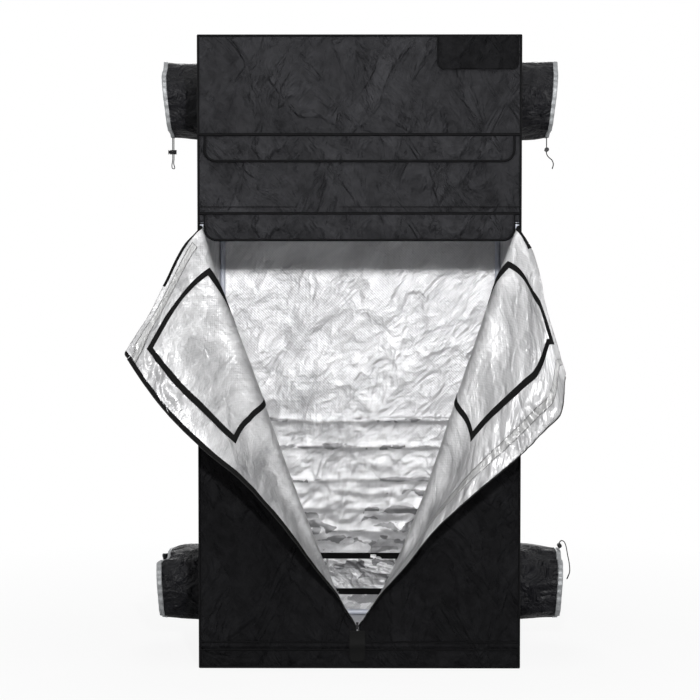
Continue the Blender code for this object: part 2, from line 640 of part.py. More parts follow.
def add_rear_vent(net_look, silver):
    """Net in the back wall, and the cover that hangs inside over it."""
    back = DEPTH / 2
    shape = bmesh.new()
    bmesh.ops.create_grid(shape, x_segments=NET_COLUMNS, y_segments=NET_ROWS, size=0.5)
    wide, tall = VENT_WIDTH - 2 * GAP, VENT_TOP - VENT_FOOT - 2 * GAP
    bmesh.ops.scale(shape, vec=(wide, tall, 1), verts=shape.verts)
    cells = bmesh.ops.inset_individual(shape, faces=shape.faces, thickness=NET_STRAND / 2)
    bmesh.ops.delete(shape, geom=[face for face in shape.faces if face not in set(cells["faces"])],
                     context="FACES")
    turn = upright(back)
    bmesh.ops.transform(shape, matrix=Matrix.Translation((0, 0, (VENT_FOOT + VENT_TOP) / 2)) @ turn,
                        verts=shape.verts)
    net = add_object("rear_vent_net", shape, net_look)
    thicken(net, CLOTH)
    cover_back = back - CLOTH - GAP
    outline = rounded_foot(-VENT_WIDTH / 2 - VENT_BAND, VENT_WIDTH / 2 + VENT_BAND,
                           VENT_FOOT - VENT_BAND, VENT_TOP + VENT_BAND, VENT_BAND / 2)
    extruded("rear_vent_cover", outline, VENT_COVER_THICK, silver, upright(cover_back))


def add_cross_slider(side, metal):
    """A slider round the bead of the door's cross zip, with its pull hanging."""
    face, back = FRONT - BEAD_PROUD - GAP, FRONT + CLOTH + GAP
    front, rear = face - SLIDER_PLATE, back + SLIDER_PLATE
    low, top = DOOR_ZIP - BEAD_HALF - GAP, DOOR_ZIP + BEAD_HALF
    outline = ((front, low - SLIDER_WEB), (rear, low - SLIDER_WEB), (rear, top), (back, top),
               (back, low), (face, low), (face, top), (front, top))
    centre = side * (HALF_WIDTH - SLIDER_PARK)
    turn = Matrix(((0, 0, 1, centre - SLIDER_LENGTH / 2), (1, 0, 0, 0), (0, 1, 0, 0), (0, 0, 0, 1)))
    slider = extruded(f"zip_slider_{SIDE_NAMES[side]}", outline, SLIDER_LENGTH, metal, turn)
    pull = box(f"zip_pull_{side}", (centre - PULL_WIDTH / 2, front - PULL_THICK, top - PULL_LENGTH),
               (centre + PULL_WIDTH / 2, front + PULL_THICK / 2, top), metal)
    boolean(slider, pull, "UNION")


def add_centre_slider(metal):
    """The slider of the upright zip, at the foot of the open door."""
    middle = FRONT + CLOTH / 2
    low, half = V_BOTTOM, CENTRE_SLIDER_HALF
    top = low + SLIDER_LENGTH
    waist = half * CENTRE_SLIDER_WAIST_SHARE
    outline = ((V_CENTRE - waist, low), (V_CENTRE + waist, low), (V_CENTRE + half, top), (V_CENTRE - half, top))
    thick = CENTRE_SLIDER_THICK
    slider = extruded("zip_slider_centre", outline, thick, metal, upright(middle + thick / 2))
    front = middle - thick / 2
    pull = box("zip_pull_centre", (V_CENTRE - PULL_WIDTH / 2, front - PULL_THICK, top - PULL_LENGTH),
               (V_CENTRE + PULL_WIDTH / 2, front + PULL_THICK / 2, top), metal)
    boolean(slider, pull, "UNION")


def smooth_route(points, step):
    """Points at even steps on a smooth curve through chosen points."""
    points = [Vector(point) for point in points]
    ends = [2 * points[0] - points[1], *points, 2 * points[-1] - points[-2]]
    fine = []
    for before, one, two, after in zip(ends, ends[1:], ends[2:], ends[3:]):
        count = max(1, round((two - one).length / step))
        for index in range(count):
            part = index / count
            fine.append(0.5 * (2 * one + (two - before) * part
                               + (2 * before - 5 * one + 4 * two - after) * part ** 2
                               + (3 * one - before - 3 * two + after) * part ** 3))
    return fine + [points[-1]]


def doubled_route(moves, spread):
    """Out along a route, round an open loop at its end and back beside itself."""
    route = smooth_route(moves, CORD_STEP)
    end, ahead, sideways = route[-1], (route[-1] - route[-2]).normalized(), Vector(spread)
    near = [max(0.0, 1 - (point - end).length / LOOP_NECK) for point in route]
    gaps = [CORD_SPREAD + (LOOP_RADIUS - CORD_SPREAD) * share ** 2 * (3 - 2 * share) for share in near]
    turns = [math.pi * step / LOOP_STEPS for step in range(1, LOOP_STEPS)]
    loop = [end + LOOP_RADIUS * (sideways * math.cos(turn) + ahead * math.sin(turn)) for turn in turns]
    out = [point + sideways * gap for point, gap in zip(route, gaps)]
    home = [point - sideways * gap for point, gap in zip(route, gaps)]
    return out + loop + home[::-1]


def add_drawcord(name, moves, spread, look):
    """A doubled cord as a round tube."""
    line = bpy.data.curves.new(name, "CURVE")
    line.dimensions = "3D"
    line.bevel_depth = CORD_RADIUS
    line.bevel_resolution = 2
    line.use_fill_caps = True
    path = line.splines.new("POLY")
    places = doubled_route(moves, spread)
    path.points.add(len(places) - 1)
    for point, place in zip(path.points, places):
        point.co = (*place, 1.0)
    line.materials.append(look)
    made = bpy.data.objects.new(name, line)
    bpy.context.scene.collection.objects.link(made)


def add_cord_lock(name, centre, barrel, look):
    """A barrel with a slot for both strands, and the button that frees them."""
    start = Vector(centre) - Vector(barrel) * (LOCK_LENGTH / 2)
    bore = PLUNGER_RADIUS + GAP
    floor = LOCK_LENGTH - PLUNGER_BORE_DEPTH
    profile = ((0, 0), (LOCK_RADIUS, 0), (LOCK_RADIUS, LOCK_LENGTH), (bore, LOCK_LENGTH), (bore, floor), (0, floor))
    lock = turned(f"cord_lock_{name}", profile, look, towards(barrel, start))
    wide = CORD_SPREAD + CORD_RADIUS + SLOT_ROOM
    narrow = CORD_RADIUS + SLOT_ROOM
    reach = Vector((abs(barrel[0]) * wide + abs(barrel[1]) * narrow,
                    abs(barrel[1]) * wide + abs(barrel[0]) * narrow, LOCK_RADIUS + CUT_OVERRUN))
    slot = box(f"cord_lock_{name}_slot", Vector(centre) - reach, Vector(centre) + reach, look)
    boolean(lock, slot, "DIFFERENCE")
    rest = PLUNGER_TRAVEL + GAP
    button = ((0, -PLUNGER_STEM), (PLUNGER_RADIUS, -PLUNGER_STEM), (PLUNGER_RADIUS, rest),
              (LOCK_RADIUS, rest), (LOCK_RADIUS, rest + PLUNGER_CAP), (0, rest + PLUNGER_CAP))
    turned(f"cord_plunger_{name}", button, look, towards(barrel, start + Vector(barrel) * LOCK_LENGTH))


def add_drawcords(cord_look, plastic):
    """Cords that close the sleeves' ends: two hang below, one lies over an end."""
    # The outline between the last two rings is straight, so the exit is read off it
    upper_inset = CORD_EXIT_INSET / (UPPER_SLEEVE_LENGTH * (1 - UPPER_DROOP_SHARE)) * SLEEVE_RINGS
    lower_inset = CORD_EXIT_INSET / LOWER_SLEEVE_LENGTH * SLEEVE_RINGS
    ring_before = 1 - 1 / SLEEVE_RINGS
    under = sleeve_radius(0, 1) * (1 - upper_inset) + sleeve_radius(0, ring_before) * upper_inset
    over = sleeve_radius(math.pi, 1) * (1 - lower_inset) + sleeve_radius(math.pi, ring_before) * lower_inset
    reach = HALF_WIDTH + GAP + UPPER_SLEEVE_LENGTH * (1 - UPPER_DROOP_SHARE) - CORD_EXIT_INSET
    foot = UPPER_PORT_HEIGHT - under - SLEEVE_CLOTH - CORD_EXIT_CLEAR
    crown = LOWER_PORT_HEIGHT + over + SLEEVE_CLOTH + CORD_EXIT_CLEAR
    end = HALF_WIDTH + GAP + LOWER_SLEEVE_LENGTH - CORD_EXIT_INSET

    def placed(origin, moves):
        return [Vector(origin) + Vector((move[0], 0, move[1])) for move in moves]

    add_drawcord("drawcord_upper_left", placed((-reach, 0, foot), UPPER_LEFT_CORD), (1, 0, 0), cord_look)
    add_cord_lock("upper_left", (-reach + UPPER_LEFT_LOCK[0], 0, foot + UPPER_LEFT_LOCK[1]), (-1, 0, 0), plastic)
    add_drawcord("drawcord_upper_right", placed((reach, 0, foot), UPPER_RIGHT_CORD), (0, 1, 0), cord_look)
    add_cord_lock("upper_right", (reach + UPPER_RIGHT_LOCK[0], 0, foot + UPPER_RIGHT_LOCK[1]), (0, -1, 0), plastic)
    add_drawcord("drawcord_lower_right", placed((end, 0, crown), LOWER_RIGHT_CORD), (0, 1, 0), cord_look)
    add_cord_lock("lower_right", (end + LOWER_RIGHT_LOCK[0], 0, crown + LOWER_RIGHT_LOCK[1]), (0, -1, 0), plastic)


def build():
    clear_scene()
    steel = finish("coated_steel", (0.82, 0.84, 0.87), 0.35)
    cloth = finish("black_canvas", (0.02, 0.02, 0.022), 0.8)
    silver = finish("silver_film", (0.8, 0.8, 0.8), 0.3, 0.7)
    nylon = finish("black_nylon", (0.012, 0.012, 0.016), 0.45)
    plastic = finish("black_plastic", (0.015, 0.015, 0.015), 0.4)
    metal = finish("zip_metal", (0.1, 0.1, 0.1), 0.4, 0.8)
    add_frame(steel)
    add_hanging_bars(steel)
    add_shell(cloth)
    add_front_panels(cloth)
    add_zip_flap("extension_zip_flap", EXTENSION_SEAM, EXTENSION_FLAP_BOW, cloth)
    add_zip_flap("door_zip_flap", DOOR_ZIP + DOOR_FLAP_RISE, DOOR_FLAP_BOW, cloth)
    add_leaf(Leaf(-1, LEFT_BOW_SHARES, LEFT_TOP_SHARES, LEFT_FREE_SHARES, LEFT_CURL_SHARES), cloth, silver)
    add_leaf(Leaf(1, RIGHT_BOW_SHARES, RIGHT_TOP_SHARES, RIGHT_FREE_SHARES, RIGHT_CURL_SHARES), cloth, silver)
    for side in SIDE_NAMES:
        add_sleeve(side, "upper", UPPER_PORT_HEIGHT, UPPER_SLEEVE_LENGTH, UPPER_DROOP_SHARE, nylon)
        add_sleeve(side, "lower", LOWER_PORT_HEIGHT, LOWER_SLEEVE_LENGTH, LOWER_DROOP_SHARE, nylon)
        add_cross_slider(side, metal)
    add_centre_slider(metal)
    add_rear_vent(nylon, silver)
    add_drawcords(nylon, plastic)


build()
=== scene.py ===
# %% [markdown]
# # An indoor grow tent
# The tent is canvas over a frame of steel tubes, with a silver lining inside. The measured model
# of it is loaded first and stays where it is. Everything below dresses that model: cloth, cords
# and tubes are made again in fine detail, and each has a material of its own.

# %% Load the measured model
import json
import math

import bmesh
import bpy
from mathutils import Matrix, Vector, noise
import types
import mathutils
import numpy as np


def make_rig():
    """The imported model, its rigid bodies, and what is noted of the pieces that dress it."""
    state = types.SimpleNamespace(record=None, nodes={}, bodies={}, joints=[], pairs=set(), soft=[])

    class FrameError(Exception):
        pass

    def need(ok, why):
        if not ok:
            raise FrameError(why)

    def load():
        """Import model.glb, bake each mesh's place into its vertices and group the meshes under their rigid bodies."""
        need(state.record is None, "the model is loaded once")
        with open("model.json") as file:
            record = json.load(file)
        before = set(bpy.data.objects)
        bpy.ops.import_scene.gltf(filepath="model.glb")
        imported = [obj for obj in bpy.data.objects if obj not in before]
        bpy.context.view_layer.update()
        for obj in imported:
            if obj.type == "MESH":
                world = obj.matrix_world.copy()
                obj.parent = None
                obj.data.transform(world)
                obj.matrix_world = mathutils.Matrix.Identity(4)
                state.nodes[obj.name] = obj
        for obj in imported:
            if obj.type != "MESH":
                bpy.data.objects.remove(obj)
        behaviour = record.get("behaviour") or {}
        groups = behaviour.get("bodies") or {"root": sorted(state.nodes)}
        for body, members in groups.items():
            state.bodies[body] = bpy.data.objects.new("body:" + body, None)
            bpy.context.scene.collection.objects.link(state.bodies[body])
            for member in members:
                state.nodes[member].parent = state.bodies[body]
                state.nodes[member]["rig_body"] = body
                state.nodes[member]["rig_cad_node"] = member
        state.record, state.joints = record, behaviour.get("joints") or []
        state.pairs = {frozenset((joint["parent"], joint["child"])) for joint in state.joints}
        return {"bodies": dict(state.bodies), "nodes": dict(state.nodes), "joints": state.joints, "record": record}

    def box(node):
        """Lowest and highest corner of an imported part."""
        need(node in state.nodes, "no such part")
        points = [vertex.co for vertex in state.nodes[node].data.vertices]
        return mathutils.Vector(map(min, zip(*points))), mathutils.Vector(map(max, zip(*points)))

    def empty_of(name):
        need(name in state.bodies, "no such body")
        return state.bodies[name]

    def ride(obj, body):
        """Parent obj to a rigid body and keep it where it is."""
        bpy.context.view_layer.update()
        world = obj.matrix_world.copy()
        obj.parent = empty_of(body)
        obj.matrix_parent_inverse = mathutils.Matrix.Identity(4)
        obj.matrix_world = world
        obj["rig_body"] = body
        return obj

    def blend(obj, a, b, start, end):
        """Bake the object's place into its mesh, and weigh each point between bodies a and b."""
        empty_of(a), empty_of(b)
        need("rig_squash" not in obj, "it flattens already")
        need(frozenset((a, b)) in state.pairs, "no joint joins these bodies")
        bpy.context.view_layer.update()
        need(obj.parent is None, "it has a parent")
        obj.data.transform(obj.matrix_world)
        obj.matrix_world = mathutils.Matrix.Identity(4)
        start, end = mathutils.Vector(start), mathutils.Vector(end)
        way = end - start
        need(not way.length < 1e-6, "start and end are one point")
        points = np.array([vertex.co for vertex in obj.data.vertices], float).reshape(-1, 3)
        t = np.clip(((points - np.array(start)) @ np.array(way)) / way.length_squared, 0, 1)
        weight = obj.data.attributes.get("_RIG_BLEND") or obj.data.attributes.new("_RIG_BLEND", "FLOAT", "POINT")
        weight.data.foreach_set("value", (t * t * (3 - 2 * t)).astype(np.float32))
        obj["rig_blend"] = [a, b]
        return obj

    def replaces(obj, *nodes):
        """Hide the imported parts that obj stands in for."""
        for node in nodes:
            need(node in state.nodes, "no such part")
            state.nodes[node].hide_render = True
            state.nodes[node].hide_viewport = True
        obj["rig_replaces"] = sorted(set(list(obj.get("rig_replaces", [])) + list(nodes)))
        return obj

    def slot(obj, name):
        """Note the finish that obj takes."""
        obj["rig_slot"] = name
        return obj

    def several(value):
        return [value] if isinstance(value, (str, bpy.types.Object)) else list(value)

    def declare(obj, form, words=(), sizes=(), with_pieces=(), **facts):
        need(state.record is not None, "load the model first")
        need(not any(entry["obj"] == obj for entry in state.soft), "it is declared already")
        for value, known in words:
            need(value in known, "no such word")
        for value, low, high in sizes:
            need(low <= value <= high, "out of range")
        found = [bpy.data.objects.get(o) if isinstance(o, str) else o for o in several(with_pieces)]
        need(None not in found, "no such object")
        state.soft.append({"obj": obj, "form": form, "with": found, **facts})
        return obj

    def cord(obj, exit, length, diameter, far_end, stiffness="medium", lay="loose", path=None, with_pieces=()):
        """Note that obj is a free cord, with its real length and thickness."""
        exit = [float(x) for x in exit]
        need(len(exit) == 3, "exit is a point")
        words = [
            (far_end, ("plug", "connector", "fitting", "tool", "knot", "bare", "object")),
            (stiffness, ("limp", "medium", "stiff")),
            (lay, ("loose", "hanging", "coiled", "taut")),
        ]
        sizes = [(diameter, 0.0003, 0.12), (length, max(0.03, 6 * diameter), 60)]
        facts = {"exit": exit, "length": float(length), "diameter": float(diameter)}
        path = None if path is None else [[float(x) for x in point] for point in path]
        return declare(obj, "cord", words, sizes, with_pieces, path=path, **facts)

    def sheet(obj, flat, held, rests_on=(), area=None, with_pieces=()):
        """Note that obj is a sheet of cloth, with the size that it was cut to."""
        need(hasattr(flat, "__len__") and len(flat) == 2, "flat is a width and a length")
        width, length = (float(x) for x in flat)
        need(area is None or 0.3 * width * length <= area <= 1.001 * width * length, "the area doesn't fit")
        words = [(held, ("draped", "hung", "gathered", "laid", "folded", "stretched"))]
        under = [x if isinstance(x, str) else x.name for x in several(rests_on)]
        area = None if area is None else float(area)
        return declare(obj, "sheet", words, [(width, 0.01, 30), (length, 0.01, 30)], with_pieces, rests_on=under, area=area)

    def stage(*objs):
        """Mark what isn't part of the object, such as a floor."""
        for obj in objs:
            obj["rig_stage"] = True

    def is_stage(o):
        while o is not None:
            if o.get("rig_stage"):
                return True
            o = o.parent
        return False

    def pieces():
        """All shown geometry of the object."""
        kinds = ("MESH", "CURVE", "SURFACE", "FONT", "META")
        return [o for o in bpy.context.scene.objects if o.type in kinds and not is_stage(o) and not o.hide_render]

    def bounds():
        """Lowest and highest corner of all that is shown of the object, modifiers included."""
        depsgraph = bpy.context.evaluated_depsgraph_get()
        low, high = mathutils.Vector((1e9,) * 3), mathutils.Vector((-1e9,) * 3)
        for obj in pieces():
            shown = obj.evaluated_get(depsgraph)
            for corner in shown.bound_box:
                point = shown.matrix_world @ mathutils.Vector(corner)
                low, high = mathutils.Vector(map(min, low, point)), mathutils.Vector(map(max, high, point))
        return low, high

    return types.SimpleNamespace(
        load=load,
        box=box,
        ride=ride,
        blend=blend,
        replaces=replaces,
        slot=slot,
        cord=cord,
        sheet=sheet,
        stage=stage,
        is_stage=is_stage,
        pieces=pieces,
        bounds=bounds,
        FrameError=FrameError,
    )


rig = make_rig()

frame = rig.load()
cad_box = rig.bounds()
print("measured box", [round(value, 3) for corner in cad_box for value in corner])

# %% [markdown]
# The tent's outer sizes are read off its roof panel, and the others are those of the measured
# model, so that every new piece lands on the one that it stands for. Widths run along X, depth
# along Y and heights along Z, in metres.

# %% Read the tent's main sizes
HALF, BACK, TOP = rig.box("roof_panel")[1]
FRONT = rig.box("roof_panel")[0][1]
CLOTH, GAP = 0.0016, 0.0003
EXTENSION_SEAM, DOOR_ZIP, SILL = 2.035, 1.70, 0.10
LEAF_TOP, V_BOTTOM, V_CENTRE, ZIP_HALF = 1.690, 0.165, -0.008, 0.0065
PORT_RADIUS, UPPER_PORT, LOWER_PORT = 0.155, 2.20, 0.24
SIDES = {-1: "left", 1: "right"}
print("half width", round(HALF, 3), "front", round(FRONT, 3), "top", round(TOP, 3))

# %% [markdown]
# The camera stands where the photographer stood: about eight metres away at eye height,
# looking slightly down. A long lens keeps the tent's upright lines nearly parallel. The aim point
# is the middle of the picture, measured on the front of the tent.

# %% Camera
PICTURE_WIDTH = 2.66
camera_place, aim = Vector((0.02, -8.86, 1.62)), Vector((-0.0358, FRONT, 1.2195))
camera = bpy.data.objects.new("camera", bpy.data.cameras.new("camera"))
bpy.context.scene.collection.objects.link(camera)
camera.location = camera_place
camera.rotation_euler = (aim - camera_place).to_track_quat("-Z", "Y").to_euler()
camera.data.sensor_width = 36
camera.data.lens = 36 * (aim - camera_place).length / PICTURE_WIDTH
camera.data.clip_end = 60
bpy.context.scene.camera = camera
print("lens", round(camera.data.lens, 1), "mm")

# %% [markdown]
# A material is a small network of nodes. Writing it as sums is easier to read than linking node
# by node, so `Wire` wraps one output and lets it be added, multiplied and compared. `Finish`
# holds one material: its shader, and a single method that adds any node.

# %% Write shader maths as sums
class Wire:
    """One number or colour that flows through a material."""

    def __init__(self, finish, socket):
        self.finish, self.socket = finish, socket

    def maths(self, operation, *others):
        return self.finish.node("ShaderNodeMath", {"operation": operation}, dict(enumerate((self, *others))))

    def __add__(self, other):
        return self.maths("ADD", other)

    def __mul__(self, other):
        return self.maths("MULTIPLY", other)

    def __sub__(self, other):
        return self.maths("SUBTRACT", other)

    def __rsub__(self, other):
        return self.maths("MULTIPLY_ADD", -1.0, other)

    def __gt__(self, other):
        return self.maths("GREATER_THAN", other)

    def __lt__(self, other):
        return self.maths("LESS_THAN", other)

    def __abs__(self):
        return self.maths("ABSOLUTE")

    def clamp(self):
        return self.maths("MAXIMUM", 0.0).maths("MINIMUM", 1.0)

    def wave(self, length):
        """From 0 to 1 and back once in each length."""
        return (self * (2 * math.pi / length)).maths("SINE") * 0.5 + 0.5

    __radd__, __rmul__ = __add__, __mul__


class Finish:
    """A material on its way: a Principled shader, and what feeds it."""

    def __init__(self, name, **plain):
        self.made = bpy.data.materials.new(name)
        self.made.use_nodes = True
        self.tree = self.made.node_tree
        self.shader = self.tree.nodes["Principled BSDF"]
        for socket, value in plain.items():
            self.shader.inputs[socket.replace("_", " ")].default_value = value

    def node(self, kind, settings, sockets, output=0):
        """Add a node, set it up, fill its sockets with values or wires, and return an output."""
        made = self.tree.nodes.new(kind)
        for name, value in settings.items():
            setattr(made, name, value)
        for socket, value in sockets.items():
            self.fill(made.inputs[socket], value)
        return Wire(self, made.outputs[output])

    def fill(self, socket, value):
        if isinstance(value, Wire):
            self.tree.links.new(value.socket, socket)
        else:
            socket.default_value = value

    def feed(self, **sockets):
        for name, value in sockets.items():
            self.fill(self.shader.inputs[name.replace("_", " ")], value)

    def place(self, uv=None, turn=0.0, stretch=(1, 1, 1)):
        """Where a pattern is read: the piece's own coordinates or a UV map, turned, then stretched."""
        if uv:
            start = self.node("ShaderNodeUVMap", {"uv_map": uv}, {})
        else:
            start = self.node("ShaderNodeTexCoord", {}, {}, "Object")
        return self.node("ShaderNodeMapping", {"vector_type": "TEXTURE"},
                         {"Vector": start, "Rotation": (0, 0, turn), "Scale": stretch})

    def axes(self, place):
        split = self.node("ShaderNodeSeparateXYZ", {}, {0: place}).socket.node
        return [Wire(self, socket) for socket in split.outputs]

    def noise(self, place, scale, detail=2.0, roughness=0.5, distortion=0.0):
        return self.node("ShaderNodeTexNoise", {}, {"Vector": place, "Scale": scale, "Detail": detail,
                                                    "Roughness": roughness, "Distortion": distortion})

    def bend(self, by, amount, place):
        """A place pushed about by a wire."""
        return self.node("ShaderNodeVectorMath", {"operation": "MULTIPLY_ADD"}, {0: by, 1: amount, 2: place})

    def cells(self, place, scale, smoothness, output=0):
        """Cells with soft borders: the distance in each, or with output 1 a colour of its own."""
        return self.node("ShaderNodeTexVoronoi", {"feature": "SMOOTH_F1"},
                         {"Vector": place, "Scale": scale, "Smoothness": smoothness}, output)

    def mix(self, mask, low, high):
        """One colour where the mask is 0, the other where it is 1."""
        return self.node("ShaderNodeMix", {"data_type": "RGBA"}, {0: mask, 6: low, 7: high}, 2)

    def bump(self, *layers):
        """Bumps on top of each other, each given as (height from 0 to 1, depth in metres)."""
        normal = None
        for height, depth in layers:
            sockets = {"Height": height, "Distance": depth, "Strength": 1.0}
            if normal:
                sockets["Normal"] = normal
            normal = self.node("ShaderNodeBump", {}, sockets)
        self.feed(Normal=normal)


def sharpen(wire, times):
    """Spread a soft pattern about its middle, for more contrast."""
    return (wire - 0.5) * times + 0.5


def grey(level, blue=1.0):
    """A neutral colour, or one that leans to blue."""
    return (level, level, level * blue, 1.0)


print("ready to write materials")

# %% [markdown]
# The lining is polyester cloth with a thin film of metal on it, embossed with small diamonds. It
# is bright but not a mirror: part of the light scatters in the emboss. The creases are broken
# facets, so the cells that give them are bent by noise, as plain noise would look like dunes.

# %% Silver lining
def silver_lining(name, metal, crease, dark, bright, lean, broken, embossed, depth=0.0006, shade_below=0.0, levels=()):
    """Film between two greys. Below a given height and along the given levels, patches of painted shade darken it."""
    film = Finish(name, Metallic=metal)
    flat = film.place("Cloth")
    across, up, _ = film.axes(flat)
    emboss = (across + up).wave(0.012) * (across - up).wave(0.012)
    pushed = film.node("ShaderNodeTexNoise", {}, {"Vector": flat, "Scale": 6.0, "Detail": 4.0}, 1)
    bent = film.bend(pushed, (0.22, 0.22, 0.0), film.place("Cloth", math.radians(lean), (1.7, 1.0, 1.0)))
    facets = film.cells(bent, 11.0, 0.25)
    tone = film.axes(film.cells(bent, 15.0, 0.2, 1))[0]
    small = film.node("ShaderNodeTexVoronoi", {}, {"Vector": bent, "Scale": 37.0})
    streaks = film.noise(film.place("Cloth", math.radians(lean), (3.0, 1.0, 1.0)), 9.0, 5.0, 0.6, 0.8)
    film.bump((streaks, crease), (facets, crease * 0.8), (small, crease * 0.18), (emboss, depth))
    dull = sharpen(film.noise(flat, 5.1, 5.0, 0.65) * 0.4 + streaks * 0.6, 2.6)
    shade = dull * (1 - broken - embossed) + tone * broken + emboss * embossed
    colour = film.mix(shade, grey(dark, 1.03), grey(bright, 1.01))
    # Painted shade: dark patches low on the film and along its creases, where crumpled facets would turn away from the
    # light
    if shade_below:
        wide = film.bend(pushed, (0.30, 0.10, 0.0), film.place("Cloth", 0.0, (2.4, 0.8, 1.0)))
        cells = film.axes(film.cells(wide, 24.0, 0.12, 1))[0]
        shade_low = ((shade_below - up) * 2.0).clamp()
        beside = shade_low * 0.7
        for level in levels:
            beside = ((abs(up - level + (streaks - 0.5) * 0.05) * -55) + 1).maths("MAXIMUM", beside)
        painted_shade = ((beside * 0.58 - cells) * 5).clamp() * 0.9
        colour = film.mix(painted_shade, colour, grey(dark * 0.45, 1.03))
    film.feed(Base_Color=colour, Roughness=film.noise(flat, 24.0, 3.0) * 0.2 + 0.28)
    return film.made


CREASES = (0.854, 0.739, 0.593, 0.469, 0.369)
lining = silver_lining("silver_film", 0.4, 0.008, 0.43, 0.87, -50, 0.12, 0.14)
# The back wall gets painted shade low down and along its packing creases, the vent cover in patches all over
back_lining = silver_lining("silver_film_back", 0.4, 0.010, 0.43, 0.87, -50, 0.12, 0.16, shade_below=0.80, levels=CREASES)
vent_lining = silver_lining("silver_film_vent", 0.5, 0.030, 0.30, 0.88, -20, 0.35, 0.06, shade_below=1.0)
leaf_silver = silver_lining("silver_film_leaf", 0.30, 0.011, 0.20, 0.76, 35, 0.26, 0.03, depth=0.0003)
print("silver:", lining.name, leaf_silver.name)

# %% [markdown]
# The outside is heavy black canvas in a plain weave. Each thread passes over one and under the
# next, which two crossed waves give. Soft, long wrinkles run across it where it was folded in its
# box; their tops are painted paler and their crease lines darker, as painted light and shade.

# %% Black canvas
def canvas(name, level, wrinkle, gloss=0.12):
    cloth = Finish(name, Specular_IOR_Level=gloss)
    flat = cloth.place("Cloth")
    across, up, _ = cloth.axes(flat)
    weave = abs(across.wave(0.0062) - up.wave(0.0062))
    leaning = [cloth.noise(cloth.place("Cloth", math.radians(angle), (2.6, 1.0, 1.0)), 6.5, 5.0, 0.55, 0.7)
               for angle in (-57, 66)]
    folds = (leaning[0] + leaning[1]) * 0.5
    valleys = [(abs(wave - 0.5) * 16).maths("MINIMUM", 1.0) for wave in leaning]
    creases = valleys[0] * valleys[1]
    crinkle = cloth.noise(flat, 26.0, 4.0, 0.6, 0.5)
    cloth.bump((folds, wrinkle), (creases, wrinkle * 0.06), (crinkle, 0.004), (weave, 0.0006))
    # Painted light and shade: paler on the tops of folds and crinkles, darker on the crease lines, beside the weave's
    # own pattern
    fold_shade_and_weave = sharpen(folds * 0.7 + crinkle * 0.3, 5.0) * 0.72 + creases * 0.14 + weave * 0.14
    cloth.feed(Base_Color=cloth.mix(fold_shade_and_weave, grey(level * 0.3, 1.2), grey(level * 2.0, 1.1)),
               Roughness=cloth.noise(flat, 55.0) * 0.2 + 0.5)
    return cloth.made


black_canvas, front_canvas = canvas("black_canvas", 0.016, 0.07), canvas("black_canvas_front", 0.018, 0.11)
# Painted shade: a darker, duller copy of the canvas for the low front panels and the leaves' black side; the front
# patch is cut from it as well
shaded_canvas = canvas("black_canvas_lower", 0.006, 0.08, 0.05)
print("canvas:", black_canvas.name, front_canvas.name, shaded_canvas.name)

# %% [markdown]
# Woven tape binds the cut edges and frames the windows. Its ribs run across it, and a row of
# stitches follows each edge. The tape's own UV map holds the way along it and the share across
# it, so the stitches stay on the tape wherever it bends.

# %% Tape, nylon, steel and the small finishes
def ribbed_tape(name, level):
    band = Finish(name, Specular_IOR_Level=0.08)
    along, share, _ = band.axes(band.place("Tape"))
    ribs = along.wave(0.0022)
    from_edge = abs(abs(share - 0.5) - 0.38)
    thread = (along.wave(0.0046) > 0.3) * (from_edge < 0.03)
    band.bump((ribs, 0.0004), (thread, 0.0006))
    band.feed(Base_Color=band.mix(thread, grey(level), grey(level * 2.6)), Roughness=ribs * 0.15 + 0.55)
    return band.made


def thin_nylon(name):
    cloth = Finish(name, Specular_IOR_Level=0.18)
    spot = cloth.place()
    folds = cloth.noise(spot, 13.0, 4.0, 0.6, 1.1)
    crinkle = cloth.noise(spot, 60.0, 3.0, 0.6, 0.6)
    cloth.bump((folds, 0.03), (crinkle, 0.003))
    cloth.feed(Base_Color=cloth.mix(folds, grey(0.002, 1.3), grey(0.010, 1.3)), Roughness=crinkle * 0.25 + 0.28)
    return cloth.made


def grained(name, colour, roughness, grain, depth, metallic=0.0, gloss=0.5):
    """A finish with a fine grain: powder coat, cast metal or moulded plastic."""
    made = Finish(name, Metallic=metallic, Specular_IOR_Level=gloss)
    spot = made.place()
    grains = made.noise(spot, grain, 3.0, 0.6)
    made.bump((grains, depth))
    made.feed(Base_Color=made.mix(grains, (*(part * 0.85 for part in colour), 1), (*colour, 1)),
              Roughness=made.noise(spot, grain / 6) * 0.2 + roughness)
    return made.made


def braided(name, pitch):
    """Cord of thin threads laid over each other."""
    made = Finish(name, Specular_IOR_Level=0.12)
    side, _, height = made.axes(made.place())
    threads = (height + side).wave(pitch) * (height - side).wave(pitch)
    made.bump((threads, 0.0004))
    made.feed(Base_Color=made.mix(threads, grey(0.003), grey(0.010)), Roughness=threads * 0.2 + 0.6)
    return made.made


webbing, black_nylon = ribbed_tape("black_webbing", 0.0045), thin_nylon("black_nylon")
powder_coat = grained("coated_steel", (0.66, 0.69, 0.78), 0.22, 900, 0.0002)
slider_metal = grained("zip_metal", (0.02, 0.02, 0.022), 0.35, 700, 0.0001, 0.3, 0.3)
moulded = grained("black_plastic", (0.009, 0.009, 0.010), 0.3, 1200, 0.0001, gloss=0.2)
cuff_film = grained("silver_cuff", (0.36, 0.37, 0.38), 0.3, 160, 0.0012, 0.3)
piping_cloth = grained("black_piping", (0.004, 0.004, 0.0045), 0.5, 420, 0.0006, gloss=0.06)
cord_braid = braided("black_cord", 0.0028)
print("finishes:", len(bpy.data.materials))

# %% [markdown]
# Every piece goes through the same door: it gets its material, rides on a body of the measured
# model and says which measured piece it stands for, if there is one. Smooth shading with sharp
# edges kept makes cloth soft and metal crisp.

